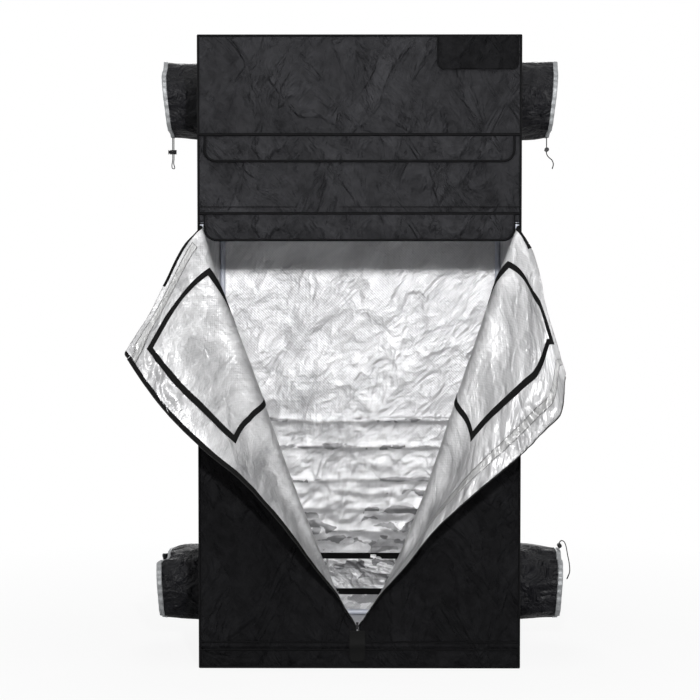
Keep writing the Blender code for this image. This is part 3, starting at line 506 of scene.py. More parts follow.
# %% Make pieces
def enlist(name, data, body, stands_for, slot):
    """Put a mesh or a curve in the scene, and say what it rides on and stands for."""
    made = bpy.data.objects.new(name, data)
    bpy.context.scene.collection.objects.link(made)
    if body:
        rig.ride(made, body)
    if stands_for:
        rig.replaces(made, *stands_for)
    if slot:
        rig.slot(made, slot)
    return made


def add_piece(name, shape, finishes, body="tent", stands_for=(), slot=None, sharp=50):
    mesh = bpy.data.meshes.new(name)
    shape.to_mesh(mesh)
    shape.free()
    for finish in finishes:
        mesh.materials.append(finish)
    mesh.shade_smooth()
    mesh.set_sharp_from_angle(angle=math.radians(sharp))
    return enlist(name, mesh, body, stands_for, slot)


def move(shape, matrix):
    bmesh.ops.transform(shape, matrix=matrix, verts=shape.verts)


def thicken(made, thickness, offset, inner=0):
    """Give a sheet its thickness, with another material on its inner face if one is named."""
    step = made.modifiers.new("Thickness", "SOLIDIFY")
    step.thickness, step.offset, step.material_offset = thickness, offset, inner


def settle(made):
    """Apply the modifiers of a piece to its mesh."""
    view = bpy.context.evaluated_depsgraph_get()
    mesh = bpy.data.meshes.new_from_object(made.evaluated_get(view))
    made.modifiers.clear()
    made.data = mesh


print("pieces so far:", len(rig.pieces()))

# %% [markdown]
# Three sleeves have a drawcord: one thin cord that comes out of the sleeve, runs through a cord
# lock, turns back in an open loop and goes in again. It is limp, so it hangs straight down from
# the upper sleeves, and lies over the lower one. The points are those of the measured model.

# %% Drawcords
CORD_RADIUS, CORD_STEP, CORD_SPREAD = 0.0018, 0.0075, 0.0026
LOOP_RADIUS, LOOP_NECK, LOOP_STEPS = 0.0055, 0.022, 6


def ease(share):
    """A soft step from 0 to 1."""
    share = min(max(share, 0.0), 1.0)
    return share * share * (3 - 2 * share)


def smooth_route(points, step):
    """Points at even steps on a smooth curve through chosen points."""
    points = [Vector(point) for point in points]
    ends = [2 * points[0] - points[1], *points, 2 * points[-1] - points[-2]]
    fine = []
    for before, one, two, after in zip(ends, ends[1:], ends[2:], ends[3:]):
        count = max(1, round((two - one).length / step))
        for part in (index / count for index in range(count)):
            fine.append(0.5 * (2 * one + (two - before) * part + (2 * before - 5 * one + 4 * two - after) * part ** 2
                               + (3 * one - before - 3 * two + after) * part ** 3))
    return fine + [points[-1]]


def doubled_route(moves, spread):
    """Out along a route, round an open loop at its end and back beside itself."""
    route = smooth_route(moves, CORD_STEP)
    end, ahead, sideways = route[-1], (route[-1] - route[-2]).normalized(), Vector(spread)
    gaps = [CORD_SPREAD + (LOOP_RADIUS - CORD_SPREAD) * ease(1 - (point - end).length / LOOP_NECK) for point in route]
    turns = [math.pi * step / LOOP_STEPS for step in range(1, LOOP_STEPS)]
    loop = [end + LOOP_RADIUS * (sideways * math.cos(turn) + ahead * math.sin(turn)) for turn in turns]
    out = [point + sideways * gap for point, gap in zip(route, gaps)]
    home = [point - sideways * gap for point, gap in zip(route, gaps)]
    return out + loop + home[::-1]


def tube(name, lines, radius, finish, body="tent", stands_for=(), slot=None):
    """A round tube along one or more lines of points."""
    curve = bpy.data.curves.new(name, "CURVE")
    curve.dimensions, curve.bevel_depth, curve.bevel_resolution = "3D", radius, 3
    curve.use_fill_caps = True
    for points in lines:
        path = curve.splines.new("POLY")
        path.points.add(len(points) - 1)
        for spot, point in zip(path.points, points):
            spot.co = (*point, 1.0)
    curve.materials.append(finish)
    return enlist(name, curve, body, stands_for, slot)


CORDS = {
    "upper_left": ((1, 0, 0), ((0, 0), (0, -0.03), (0, -0.06), (0, -0.09), (-0.002, -0.108), (0, -0.122))),
    "upper_right": ((0, 1, 0), ((0, 0), (0, -0.024), (0, -0.046), (0, -0.066), (0.008, -0.08), (0.022, -0.092),
                                (0.028, -0.108), (0.025, -0.122))),
    "lower_right": ((0, 1, 0), ((0, 0), (0, 0.012), (0, 0.024), (0.008, 0.033), (0.02, 0.028), (0.028, 0.008),
                                (0.034, -0.025), (0.041, -0.06), (0.043, -0.095), (0.034, -0.12))),
}
EXITS = {"upper_left": (-0.7581, 2.05452), "upper_right": (0.7581, 2.05452), "lower_right": (0.8173, 0.37578)}
for where, (spread, moves) in CORDS.items():
    start_x, start_z = EXITS[where]
    route = doubled_route([(start_x + out, 0, start_z + up) for out, up in moves], spread)
    length = sum((after - before).length for before, after in zip(route, route[1:]))
    cord = tube(f"cord_{where}", [route], CORD_RADIUS, cord_braid, stands_for=[f"drawcord_{where}"], slot="black_cord")
    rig.cord(cord, exit=route[0], length=length, diameter=2 * CORD_RADIUS, far_end="object", stiffness="limp",
            lay="loose" if where == "lower_right" else "hanging",
            with_pieces=[f"cord_lock_{where}", f"cord_plunger_{where}"])
    print(cord.name, "is", round(length, 3), "m long")

# %% [markdown]
# The tubes of the frame are powder coated. Each bar is a tube spun about its own axis, with more
# sides than the measured one, so that it stays round from close by. Corners, upper poles, hanging
# bars and zip sliders are copies of the measured pieces whose points are joined, so that they
# shade smoothly. The cord locks are the measured pieces themselves, in another material.

# %% Steel frame and other hard parts
CHAMFER, TUBE_RADIUS, TUBE_WALL, TUBE_SIDES = 0.0008, 0.011, 0.0012, 36


def spun_tube(node):
    """A round tube along the longest side of a measured bar's box."""
    low, high = (Vector(corner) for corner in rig.box(node))
    middle, size = (low + high) / 2, high - low
    axis = max(range(3), key=lambda index: size[index])
    half = size[axis] / 2
    shape = bmesh.new()
    bore = TUBE_RADIUS - TUBE_WALL
    outline = [(TUBE_RADIUS, -half + CHAMFER), (TUBE_RADIUS - CHAMFER, -half), (bore, -half), (bore, half),
               (TUBE_RADIUS - CHAMFER, half), (TUBE_RADIUS, half - CHAMFER)]
    points = [shape.verts.new((x, 0, z)) for x, z in outline]
    edges = [shape.edges.new(pair) for pair in zip(points, points[1:] + points[:1])]
    bmesh.ops.spin(shape, geom=points + edges, cent=(0, 0, 0), axis=(0, 0, 1), angle=2 * math.pi,
                   steps=TUBE_SIDES, use_merge=True)
    bmesh.ops.recalc_face_normals(shape, faces=shape.faces)
    aim_at = Vector([1.0 if index == axis else 0.0 for index in range(3)])
    turn = Vector((0, 0, 1)).rotation_difference(aim_at).to_matrix().to_4x4()
    move(shape, Matrix.Translation(middle) @ turn)
    add_piece(f"steel_{node}", shape, [powder_coat], stands_for=[node], slot="coated_steel", sharp=30)


def smooth_copy(node, finish, slot, sharp=35):
    """The measured piece itself, with its loose triangles joined and shaded smoothly."""
    source = frame["nodes"][node]
    shape = bmesh.new()
    shape.from_mesh(source.data)
    bmesh.ops.remove_doubles(shape, verts=shape.verts, dist=0.00001)
    bmesh.ops.dissolve_limit(shape, angle_limit=math.radians(0.2), verts=shape.verts, edges=shape.edges)
    add_piece(f"smooth_{node}", shape, [finish], source["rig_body"], [node], slot, sharp)


for node in sorted(frame["nodes"]):
    if node.startswith(("bottom_bar", "top_bar", "lower_pole")):
        spun_tube(node)
    elif node.startswith(("bottom_corner", "top_corner", "extension_pole", "hanging_bar")):
        smooth_copy(node, powder_coat, "coated_steel")
    elif node.startswith(("cord_lock", "cord_plunger")):
        frame["nodes"][node].data.materials.clear()
        frame["nodes"][node].data.materials.append(moulded)
    elif node.startswith("zip_slider"):
        smooth_copy(node, slider_metal, "zip_metal")
print("hard parts finished")

# %% [markdown]
# A wall of the tent is one sheet of cloth, sewn along its edges and loose in the middle. It starts
# as a flat grid whose measure is kept as a UV map, so that weave and emboss have their real size.
# The cloth's height is a sum of noises: long folds, with smaller broken ones on them, which fade
# out towards the sewn edges. Blender seeds part of this noise from the clock, so it gets a fixed
# seed here, and the wrinkles are the same in each run. Thickness comes last, with the silver side
# as the inner face.

# %% Flat cloth and its wrinkles
NOISE_SEED = 1795878613
noise.seed_set(NOISE_SEED)


def write_uv(shape, name, place):
    """Fill a new UV map. place gives the spot for a face and the point of one of its corners."""
    layer = shape.loops.layers.uv.new(name)
    for face in shape.faces:
        for corner in face.loops:
            corner[layer].uv = place(face, corner.vert.co)


def keep_measure(shape, first=0, second=1):
    """Write each corner's flat place into a UV map, in metres."""
    write_uv(shape, "Cloth", lambda _, at: (at[first], at[second]))


def grid(columns, rows, wide=1.0, tall=1.0):
    """A flat grid about the origin."""
    shape = bmesh.new()
    bmesh.ops.create_grid(shape, x_segments=columns, y_segments=rows, size=0.5)
    bmesh.ops.scale(shape, vec=(wide, tall, 1), verts=shape.verts)
    return shape


def flat_cloth(low, high, cell):
    wide, tall = high[0] - low[0], high[1] - low[1]
    shape = grid(math.ceil(wide / cell), math.ceil(tall / cell), wide, tall)
    bmesh.ops.translate(shape, vec=((low[0] + high[0]) / 2, (low[1] + high[1]) / 2, 0), verts=shape.verts)
    keep_measure(shape)
    return shape


def cut(shape, place, normal, clear=True):
    """Cut by a plane, and clear what lies on the side that its normal points to."""
    bmesh.ops.bisect_plane(shape, geom=list(shape.verts) + list(shape.edges) + list(shape.faces), dist=0.00002,
                           plane_co=place, plane_no=normal, clear_outer=clear)


def crumple(u, v, seed):
    """Height of loose cloth, roughly from -1 to 1."""
    spot = Vector((u, v, seed))
    bent = spot + 0.07 * noise.noise_vector(spot * 3.5)
    slant = Vector((bent.x * 0.8 + bent.y * 0.6, (bent.y * 0.8 - bent.x * 0.6) * 0.4, seed))
    return (noise.noise(bent * 2.4) * 0.75 + noise.noise(slant * 6.5) * 0.6
            + (0.4 - abs(noise.noise(bent * 8.0))) * 0.4 + (0.4 - abs(noise.noise(bent * 19.0))) * 0.16)


def facing(out, right, distance):
    """Stand a flat sheet up as a wall that faces out."""
    out, right = Vector(out), Vector(right)
    return Matrix.Translation(out * distance) @ Matrix((right, out.cross(right), out)).transposed().to_4x4()


def cloth_wall(name, stand, low, high, finishes, depth, seed, node, cell=0.012, shape_it=None, lift=None, hold=0.07):
    """One sewn panel. lift gives more height at a place on the sheet, outwards."""
    shape = flat_cloth(low, high, cell)
    if shape_it:
        shape_it(shape)
    for point in shape.verts:
        u, v = point.co.x, point.co.y
        near = min(u - low[0], high[0] - u, v - low[1], high[1] - v)
        point.co.z = depth * ease(near / hold) * crumple(u, v, seed) + (lift(u, v) if lift else 0.0)
    move(shape, stand)
    made = add_piece(name, shape, finishes, stands_for=[node], slot="black_canvas", sharp=180)
    thicken(made, CLOTH, -1, 1)
    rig.sheet(made, flat=(high[0] - low[0], high[1] - low[1]), held="stretched")


print("ready to sew")

# %% [markdown]
# The side walls have two round ports each. A port is cut out of the flat grid and its edge is
# drawn onto a true circle. Close to a port the cloth is flat, where a ring of tape is sewn on.

# %% Floor, roof and side walls
both = [black_canvas, lining]
low_edge, high_edge = CLOTH + GAP, TOP - CLOTH - GAP
inside = BACK - CLOTH - GAP
WALL_DEPTH, SEAM_REACH = 0.010, 0.07


def cut_ports(shape):
    for height in (UPPER_PORT, LOWER_PORT):
        centre = Vector((0, height, 0))
        within = [face for face in shape.faces if (face.calc_center_median() - centre).length < PORT_RADIUS - 0.004]
        bmesh.ops.delete(shape, geom=within, context="FACES")
        rim = {point for edge in shape.edges if edge.is_boundary for point in edge.verts}
        for point in rim:
            reach = point.co - centre
            if reach.length < PORT_RADIUS + 0.02:
                point.co = centre + reach.normalized() * (PORT_RADIUS + 0.0004)


def calm_ports(depth, seed):
    """Take the wrinkles out again close to a port, where its ring is sewn on."""
    def lift(u, v):
        near = min(math.hypot(u, v - height) for height in (UPPER_PORT, LOWER_PORT))
        share = 1 - ease((near - PORT_RADIUS - 0.02) / 0.06)
        edge = ease(min(inside - abs(u), v, TOP - v) / SEAM_REACH)
        return -depth * edge * crumple(u, v, seed) * share
    return lift


cloth_wall("cloth_floor", facing((0, 0, -1), (1, 0, 0), 0), (-HALF, -BACK), (HALF, BACK), both, 0.0, 1,
           "floor_panel", 0.03)
cloth_wall("cloth_roof", facing((0, 0, 1), (1, 0, 0), TOP), (-HALF, -BACK), (HALF, BACK), both, 0.005, 2, "roof_panel",
           0.015, lift=lambda u, v: 0.003 * ease((HALF - max(abs(u), abs(v))) / 0.05))
for seed, (side, which) in enumerate(SIDES.items(), 3):
    cloth_wall(f"cloth_wall_{which}", facing((side, 0, 0), (0, side, 0), HALF), (-inside, low_edge),
               (inside, high_edge), both, WALL_DEPTH, seed, f"wall_{which}", shape_it=cut_ports,
               lift=calm_ports(WALL_DEPTH, seed))
print("four panels sewn")

# %% [markdown]
# The back wall still shows how the tent was folded in its box: level creases low down and one
# slanting one. A crease is a low ridge that wanders a little and is stronger in some places.

# %% Back wall with its packing creases
CREASE_DEPTH, CREASE_WIDTH, SLANT_DEPTH, SLANT_WIDTH = 0.012, 0.010, 0.004, 0.008
SLANT_START, SLANT_RISE, SLANT_RUN = (0.1077, 0.338), 0.48, 0.109
VENT_HALF, VENT_FOOT, VENT_TOP, VENT_BAND = 0.20, 0.115, 0.245, 0.027
BACK_DEPTH, BACK_SEED = 0.008, 5


def packing_creases(u, v):
    height = 0.0
    for index, level in enumerate(CREASES):
        wander = 0.007 * noise.noise(Vector((u * 7, index * 3.7, 0.5)))
        strength = 0.55 + 0.6 * noise.noise(Vector((u * 3, index * 5.1, 2.5)))
        height -= CREASE_DEPTH * strength * math.exp(-abs(v - level - wander) / CREASE_WIDTH)
    along = (v - SLANT_START[1]) / SLANT_RISE
    if 0 < along < 1:
        height -= SLANT_DEPTH * math.exp(-abs(-u + SLANT_START[0] - SLANT_RUN * along) / SLANT_WIDTH)
    low = ease((0.9 - v) / 0.5)
    for scale, deep in ((13, 0.010), (31, 0.004)):
        height -= deep * low * abs(noise.noise(Vector((u * scale * 0.6, v * scale * 1.5, scale))))
    return height * ease((HALF - abs(u)) / 0.08) * ease((v - VENT_TOP - 0.04) / 0.05)


def cut_vent(shape):
    for spot, normal in (((VENT_HALF, 0, 0), (1, 0, 0)), ((-VENT_HALF, 0, 0), (1, 0, 0)),
                         ((0, VENT_FOOT, 0), (0, 1, 0)), ((0, VENT_TOP, 0), (0, 1, 0))):
        cut(shape, spot, normal, False)
    within = [face for face in shape.faces if abs(face.calc_center_median().x) < VENT_HALF
              and VENT_FOOT < face.calc_center_median().y < VENT_TOP]
    bmesh.ops.delete(shape, geom=within, context="FACES")


def calm_vent(u, v):
    """The packing creases, and flat cloth behind the vent's cover."""
    near = max(abs(u) - VENT_HALF, VENT_FOOT - v, v - VENT_TOP)
    edge = ease(min(HALF - abs(u), v) / SEAM_REACH)
    return packing_creases(u, v) - BACK_DEPTH * edge * crumple(u, v, BACK_SEED) * (1 - ease((near - 0.035) / 0.06))


cloth_wall("cloth_wall_back", facing((0, 1, 0), (-1, 0, 0), BACK), (-HALF, low_edge), (HALF, high_edge),
           [black_canvas, back_lining], BACK_DEPTH, BACK_SEED, "wall_back", 0.009, cut_vent, calm_vent)
print("back wall sewn")

# %% [markdown]
# The front above the door is two panels, with a cross zip between them. They hang between poles
# at their ends only, and the top one has the deepest wrinkles.

# %% Front panels
front_both = [front_canvas, lining]
front_stand = facing((0, -1, 0), (1, 0, 0), -FRONT)
cloth_wall("cloth_front_top", front_stand, (-HALF, EXTENSION_SEAM + GAP), (HALF, high_edge), front_both, 0.013, 6,
           "front_top_panel", 0.008)
cloth_wall("cloth_front_extension", front_stand, (-HALF, DOOR_ZIP + 0.004), (HALF, EXTENSION_SEAM - GAP), front_both,
           0.006, 7, "front_extension_panel", 0.008)
cloth_wall("cloth_front_sill", front_stand, (-HALF, low_edge), (HALF, SILL), [shaded_canvas, lining], 0.002, 8,
           "front_sill_panel", 0.004, hold=0.03,
           lift=lambda u, v: 0.005 * math.sin(math.pi * ease((v - 0.074) / 0.026)))
print("front panels sewn")

# %% [markdown]
# Each door leaf is folded back along a slanting line from its top corner to the foot of the door.
# The leaf is worked out from its flat sheet: every flat point knows how far along the fold it is
# and how far across. Close to the fold the cloth rolls over, and past the roll it hangs in a free
# curve to the leaf's edge. The tables are those of the measured model, as shares of the fold's
# length and of the tent's half width.

# %% How a leaf hangs
BOWS = {-1: ((0, 0), (0.14, 0.021), (0.33, 0.025), (0.56, 0.036), (0.7, 0.041), (0.91, 0.034), (1, 0)),
        1: ((0, 0), (0.13, 0), (0.25, 0.02), (0.41, 0.035), (0.52, 0.055), (0.65, 0.073), (0.78, 0.07),
            (0.91, 0.05), (1, 0))}
ROLLS = ((0, 0.013), (0.15, 0.06), (0.4, 0.09), (0.7, 0.075), (0.88, 0.035), (1, 0.006))
TURNS = ((0, 0.92), (0.5, 0.88), (0.8, 0.75), (0.9, 0.6), (1, 0.35))
TOP_EDGES = {-1: ((0, 0.01, 0.05, 0.02), (0.03, 0.04, 0.172, 0.098), (0.065, 0.109, 0.348, 0.213),
                  (0.1, 0.171, 0.519, 0.311), (0.128, 0.223, 0.683, 0.41)),
             1: ((0, 0.01, 0.04, 0.02), (0.03, 0.042, 0.139, 0.082), (0.05, 0.087, 0.224, 0.148),
                 (0.08, 0.155, 0.323, 0.213), (0.11, 0.233, 0.483, 0.295), (0.133, 0.277, 0.579, 0.328))}
FREE_EDGES = {-1: ((0.128, 0.223, 0.683, 0.41), (0.26, 0.349, 0.592, 0.426), (0.41, 0.482, 0.436, 0.443),
                   (0.5, 0.563, 0.313, 0.434), (0.6, 0.647, 0.221, 0.39), (0.7, 0.743, 0.153, 0.31),
                   (0.78, 0.809, 0.109, 0.235), (0.84, 0.865, 0.07, 0.165), (0.9, 0.915, 0.034, 0.1),
                   (0.95, 0.957, 0.024, 0.05), (1, 1, 0, 0.01)),
              1: ((0.133, 0.277, 0.579, 0.328), (0.23, 0.36, 0.639, 0.344), (0.27, 0.4, 0.595, 0.361),
                  (0.38, 0.489, 0.491, 0.393), (0.49, 0.583, 0.355, 0.41), (0.58, 0.66, 0.256, 0.385),
                  (0.68, 0.741, 0.173, 0.33), (0.76, 0.816, 0.117, 0.26), (0.82, 0.858, 0.084, 0.2),
                  (0.876, 0.906, 0.049, 0.13), (0.92, 0.941, 0.031, 0.08), (1, 1, 0, 0.01))}
CURLS = {-1: ((0, 0.2), (1, 0.2)), 1: ((0, 0.3), (0.12, 0.6), (0.3, 0.4), (1, 0.2))}
FOLD_INSET, MIN_RUN, HANDLE_SHARE, OVERHANG = 0.012, 0.02, 0.36, 1.03


def table_value(rows, share):
    """Read a smooth curve through rows of (share, value, ...)."""
    share = min(max(share, rows[0][0]), rows[-1][0])
    last = len(rows) - 2
    spot = next((index for index in range(last) if share <= rows[index + 1][0]), last)
    lower, upper = rows[spot], rows[spot + 1]
    before = rows[spot - 1] if spot > 0 else lower
    after = rows[spot + 2] if spot < last else upper
    span = upper[0] - lower[0]
    part = (share - lower[0]) / span
    rise = 3 * part ** 2 - 2 * part ** 3
    into, out = (part ** 3 - 2 * part ** 2 + part) * span, (part ** 3 - part ** 2) * span
    found = [(1 - rise) * lower[column] + rise * upper[column]
             + into * (upper[column] - before[column]) / (upper[0] - before[0])
             + out * (after[column] - lower[column]) / (after[0] - lower[0]) for column in range(1, len(lower))]
    return found if len(found) > 1 else found[0]


class Leaf:
    """One door leaf: where its fold runs, and where each flat point of it hangs."""

    forward = Vector((0, -1, 0))

    def __init__(self, side):
        self.side = side
        self.corner = Vector((side * (HALF - FOLD_INSET), FRONT, LEAF_TOP))
        self.foot = Vector((V_CENTRE + side * ZIP_HALF, FRONT, V_BOTTOM))
        self.length = (self.foot - self.corner).length
        self.along = (self.foot - self.corner).normalized()
        across = self.along.cross(self.forward)
        self.inward = across * -side * math.copysign(1, across.x)
        meeting = Vector((self.foot.x, FRONT, LEAF_TOP)) - self.corner
        self.meeting_share, self.meeting_reach = meeting.dot(self.along) / self.length, meeting.dot(self.inward)

    def section_length(self, share):
        """Flat cloth from the fold line to the leaf's edge, square to the fold."""
        if share < self.meeting_share:
            return self.meeting_reach * max(share, 0) / self.meeting_share
        return self.meeting_reach * max(1 - share, 0) / (1 - self.meeting_share)

    def drape(self, flat):
        offset = flat - self.corner
        share, reach = offset.dot(self.along) / self.length, offset.dot(self.inward)
        bow, radius = HALF * table_value(BOWS[self.side], share), HALF * table_value(ROLLS, share)
        start = -radius - bow
        if share > 1 or reach <= start:
            return flat.copy()
        turn = math.pi * table_value(TURNS, share)
        base = self.corner + self.along * (share * self.length) + self.inward * start
        angle = min((reach - start) / radius, turn)
        place = base + radius * (self.inward * math.sin(angle) + self.forward * (1 - math.cos(angle)))
        if angle < turn:
            return place
        rolled = start + radius * turn
        whole = max(self.section_length(share), rolled + MIN_RUN)
        edge = TOP_EDGES if share < FREE_EDGES[self.side][0][0] else FREE_EDGES
        along_share, out_share, forward_share = table_value(edge[self.side], share)
        end = (self.corner + self.along * (along_share * self.length)
               + HALF * (self.forward * forward_share - self.inward * out_share))
        leaving = self.inward * math.cos(turn) + self.forward * math.sin(turn)
        chord = end - place
        arriving = (chord.normalized() - self.forward * table_value(CURLS[self.side], share)).normalized()
        handle = HANDLE_SHARE * chord.length
        part = min((reach - rolled) / (whole - rolled), OVERHANG)
        rest = 1 - part
        return (place * rest ** 3 + (place + leaving * handle) * (3 * rest ** 2 * part)
                + (end - arriving * handle) * (3 * rest * part ** 2) + end * part ** 3)

    def wrinkle(self, flat):
        """Loose cloth: still at the tent's seams, livelier at the free edge, curled up at its top edge."""
        reach = (flat - self.corner).dot(self.inward)
        inset, drop = HALF - self.side * flat.x, LEAF_TOP - flat.z
        sewn = ease(min(inset, flat.z - SILL) / 0.10)
        loose = 0.35 + 0.65 * ease(reach / 0.25)
        curl = (0.024 if self.side < 0 else 0.008) * max(1 - max(drop, 0) / 0.085, 0) ** 2 * ease((inset - 0.12) / 0.25)
        low, tall = (0.20, 0.14) if self.side < 0 else (0.40, 0.22)
        crush = math.exp(-((inset - 0.56) / 0.06) ** 2 - ((drop - low) / tall) ** 2)
        shards = 0.014 * crush * (abs(noise.noise(Vector((flat.x * 19, flat.z * 19, 3.3)))) * 2.4 - 0.7)
        return 0.011 * sewn * loose * crumple(flat.x, flat.z, 11 + self.side) + curl + shards

    def surface(self, flat, lift):
        """A point on the hung leaf, lifted off its black side towards its silver side."""
        step = 0.0015
        here = self.drape(flat)
        right = self.drape(flat + Vector((step, 0, 0))) - self.drape(flat - Vector((step, 0, 0)))
        up = self.drape(flat + Vector((0, 0, step))) - self.drape(flat - Vector((0, 0, step)))
        normal = up.cross(right)
        if normal.length < 1e-12:
            normal = Vector((0, 1, 0))
        return here + normal.normalized() * (lift + self.wrinkle(flat))


leaves = {side: Leaf(side) for side in SIDES}
print("fold lengths", [round(leaf.length, 3) for leaf in leaves.values()])

# %% [markdown]
# The flat sheet of a leaf gets its grid along the fold, not along its edges, so that the roll
# stays round. Each piece of the leaf is cut from such a sheet along its outline, hung with the same
# function and only then given its thickness. So webbing, cover and binding follow every wrinkle.

# %% Cloth, webbing and binding of the leaves
def outline_sides(corners):
    """Each side of a flat outline, as a point and the normal that looks in. Corners are (x, z)."""
    middle = [sum(values) / len(corners) for values in zip(*corners)]
    sides = []
    for one, two in zip(corners, corners[1:] + corners[:1]):
        inward = Vector((one[1] - two[1], two[0] - one[0])).normalized()
        inward *= math.copysign(1, inward.dot(Vector(middle) - Vector(one)))
        sides.append((Vector(one), inward))
    return sides


def corners_of(low, high):
    return [(low[0], low[1]), (high[0], low[1]), (high[0], high[1]), (low[0], high[1])]


def trim(shape, sides, up, inset=0.0, clear=True):
    """Cut a flat sheet along the sides of an outline, or parallel to them. up is the axis of z."""
    for spot, inward in sides:
        at = spot + inward * inset
        place, normal = [0.0, 0.0, 0.0], [0.0, 0.0, 0.0]
        place[0], place[up], normal[0], normal[up] = at.x, at.y, -inward.x, -inward.y
        cut(shape, place, normal, clear)


def fold_sheet(leaf, corners, step):
    """Flat cloth inside an outline, its grid laid along the leaf's fold."""
    offsets = [Vector((x, FRONT, z)) - leaf.corner for x, z in corners]
    alongs, reaches = [spot.dot(leaf.along) for spot in offsets], [spot.dot(leaf.inward) for spot in offsets]
    long, wide = max(alongs) - min(alongs), max(reaches) - min(reaches)
    shape = grid(math.ceil(long / step), math.ceil(wide / step))
    stand = Matrix((leaf.along * long, leaf.inward * wide, leaf.along.cross(leaf.inward))).transposed().to_4x4()
    middle = (leaf.corner + leaf.along * (max(alongs) + min(alongs)) / 2
              + leaf.inward * (max(reaches) + min(reaches)) / 2)
    move(shape, Matrix.Translation(middle) @ stand)
    trim(shape, outline_sides(corners), 2)
    shape.normal_update()
    if sum(face.normal.y for face in shape.faces) < 0:
        bmesh.ops.reverse_faces(shape, faces=shape.faces)
    keep_measure(shape, 0, 2)
    return shape


def tape_frame(shape, corners, width, up):
    """Keep the edge of a flat sheet as a tape, with a UV map of the way along it and the share across."""
    sides = outline_sides(corners)
    trim(shape, sides, up, width, False)

    def nearest(spot):
        reach = [(Vector((spot.x, spot[up])) - start).dot(inward) for start, inward in sides]
        return min(reach), sides[reach.index(min(reach))]

    def on_tape(face, at):
        _, (start, inward) = nearest(face.calc_center_median())
        spot = Vector((at.x, at[up])) - start
        return spot.dot(Vector((inward.y, -inward.x))), spot.dot(inward) / width

    middle = [face for face in shape.faces if nearest(face.calc_center_median())[0] > width]
    bmesh.ops.delete(shape, geom=middle, context="FACES")
    write_uv(shape, "Tape", on_tape)
    return shape


BEND_START, BEND_DEPTH = Vector((0, FRONT - 0.004, 1.0)), Vector((0, -0.075, 0))


def hang(name, leaf, shape, lift, thickness, finishes, slot, nodes=(), inner=0):
    """Hang a flat sheet with the leaf, thicken it and let it bend with the fold."""
    for point in shape.verts:
        point.co = leaf.surface(point.co, lift)
    made = add_piece(name, shape, finishes, None, nodes, slot, 60)
    thicken(made, thickness, 1, inner)
    settle(made)
    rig.blend(made, "tent", f"{SIDES[leaf.side]}_leaf", start=BEND_START, end=BEND_START + BEND_DEPTH)
    return made


def cloth_size(corners):
    """Width, length and area of a flat outline."""
    xs, zs = zip(*corners)
    area = sum(x * zs[index - 1] - xs[index - 1] * z for index, (x, z) in enumerate(corners)) / 2
    return {"flat": (max(xs) - min(xs), max(zs) - min(zs)), "area": abs(area)}


# Corners of each window, from the leaf's top outer corner: inwards, and down
WINDOWS = {-1: ((0.105, 0.135), (0.517, 0.062), (0.505, 0.615), (0.388, 0.657), (0.170, 0.672)),
           1: ((0.104, 0.112), (0.329, 0.030), (0.480, 0.022), (0.446, 0.680), (0.305, 0.657), (0.135, 0.625))}
BAND, COVER_THICK, TAPE_THICK, TAPE_LIFT = 0.022, 0.0012, 0.0014, 0.0002
leaf_cloths = {}
for side, leaf in leaves.items():
    which = SIDES[side]
    leaf_edge = corners_of((min(side * HALF, leaf.foot.x), SILL + GAP), (max(side * HALF, leaf.foot.x), LEAF_TOP))
    cloth = hang(f"leaf_cloth_{which}", leaf, fold_sheet(leaf, leaf_edge, 0.0075), 0.0, CLOTH,
                 [leaf_silver, shaded_canvas], "silver_film", [f"front_side_{which}", f"door_leaf_{which}"], 1)
    leaf_cloths[side] = (cloth, cloth_size(leaf_edge))
    window = [(side * (HALF - inset), LEAF_TOP - drop) for inset, drop in WINDOWS[side]]
    cover = hang(f"window_flap_{which}", leaf, fold_sheet(leaf, window, 0.0085), CLOTH + GAP, COVER_THICK,
                 [leaf_silver], "silver_film", [f"window_cover_{which}"])
    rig.sheet(cover, held="hung", **cloth_size(window))
    shape = tape_frame(fold_sheet(leaf, window, 0.006), window, BAND, 2)
    around = sum((Vector(one) - Vector(two)).length for one, two in zip(window, window[1:] + window[:1]))
    band = hang(f"window_webbing_{which}", leaf, shape, CLOTH + GAP + COVER_THICK + TAPE_LIFT, TAPE_THICK,
                [webbing], "black_canvas")
    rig.sheet(band, flat=(around, BAND), held="stretched")
print("leaves hung")

# %% [markdown]
# The edges of the leaves are bound. On the left leaf that is the black tape of the upright zip,
# with the zip's coil on its very edge. The right leaf turns its silver side out to the edge, and a
# double row of stitches holds its half of the zip from behind.

# %% Edges of the leaves
zip_coil = Finish("zip_coil", Specular_IOR_Level=0.15)
turns = zip_coil.axes(zip_coil.place("Tape"))[0].wave(0.0017)
zip_coil.bump((turns, 0.0008))
zip_coil.feed(Base_Color=zip_coil.mix(turns, grey(0.006), grey(0.03)), Roughness=turns * 0.2 + 0.3)


def hem_film(name, level):
    """Turned-in film with a row of dark stitches along each edge."""
    hem = Finish(name, Metallic=0.5)
    along, share, _ = hem.axes(hem.place("Tape"))
    row = abs(abs(share - 0.5) - 0.42)
    stitch = (row < 0.05) * (along.wave(0.006) > 0.35)
    gathers = hem.noise(hem.place("Tape", 0.0, (1.0, 14.0, 1.0)), 34.0, 4.0, 0.6, 0.4)
    hem.bump((gathers, 0.006), (1 - stitch, 0.0010))
    hem.feed(Base_Color=hem.mix(stitch, hem.mix(gathers, grey(level * 0.6), grey(level * 1.3)), grey(level * 0.25)),
             Roughness=gathers * 0.2 + 0.28)
    return hem.made


silver_tape = hem_film("silver_hem", 0.42)


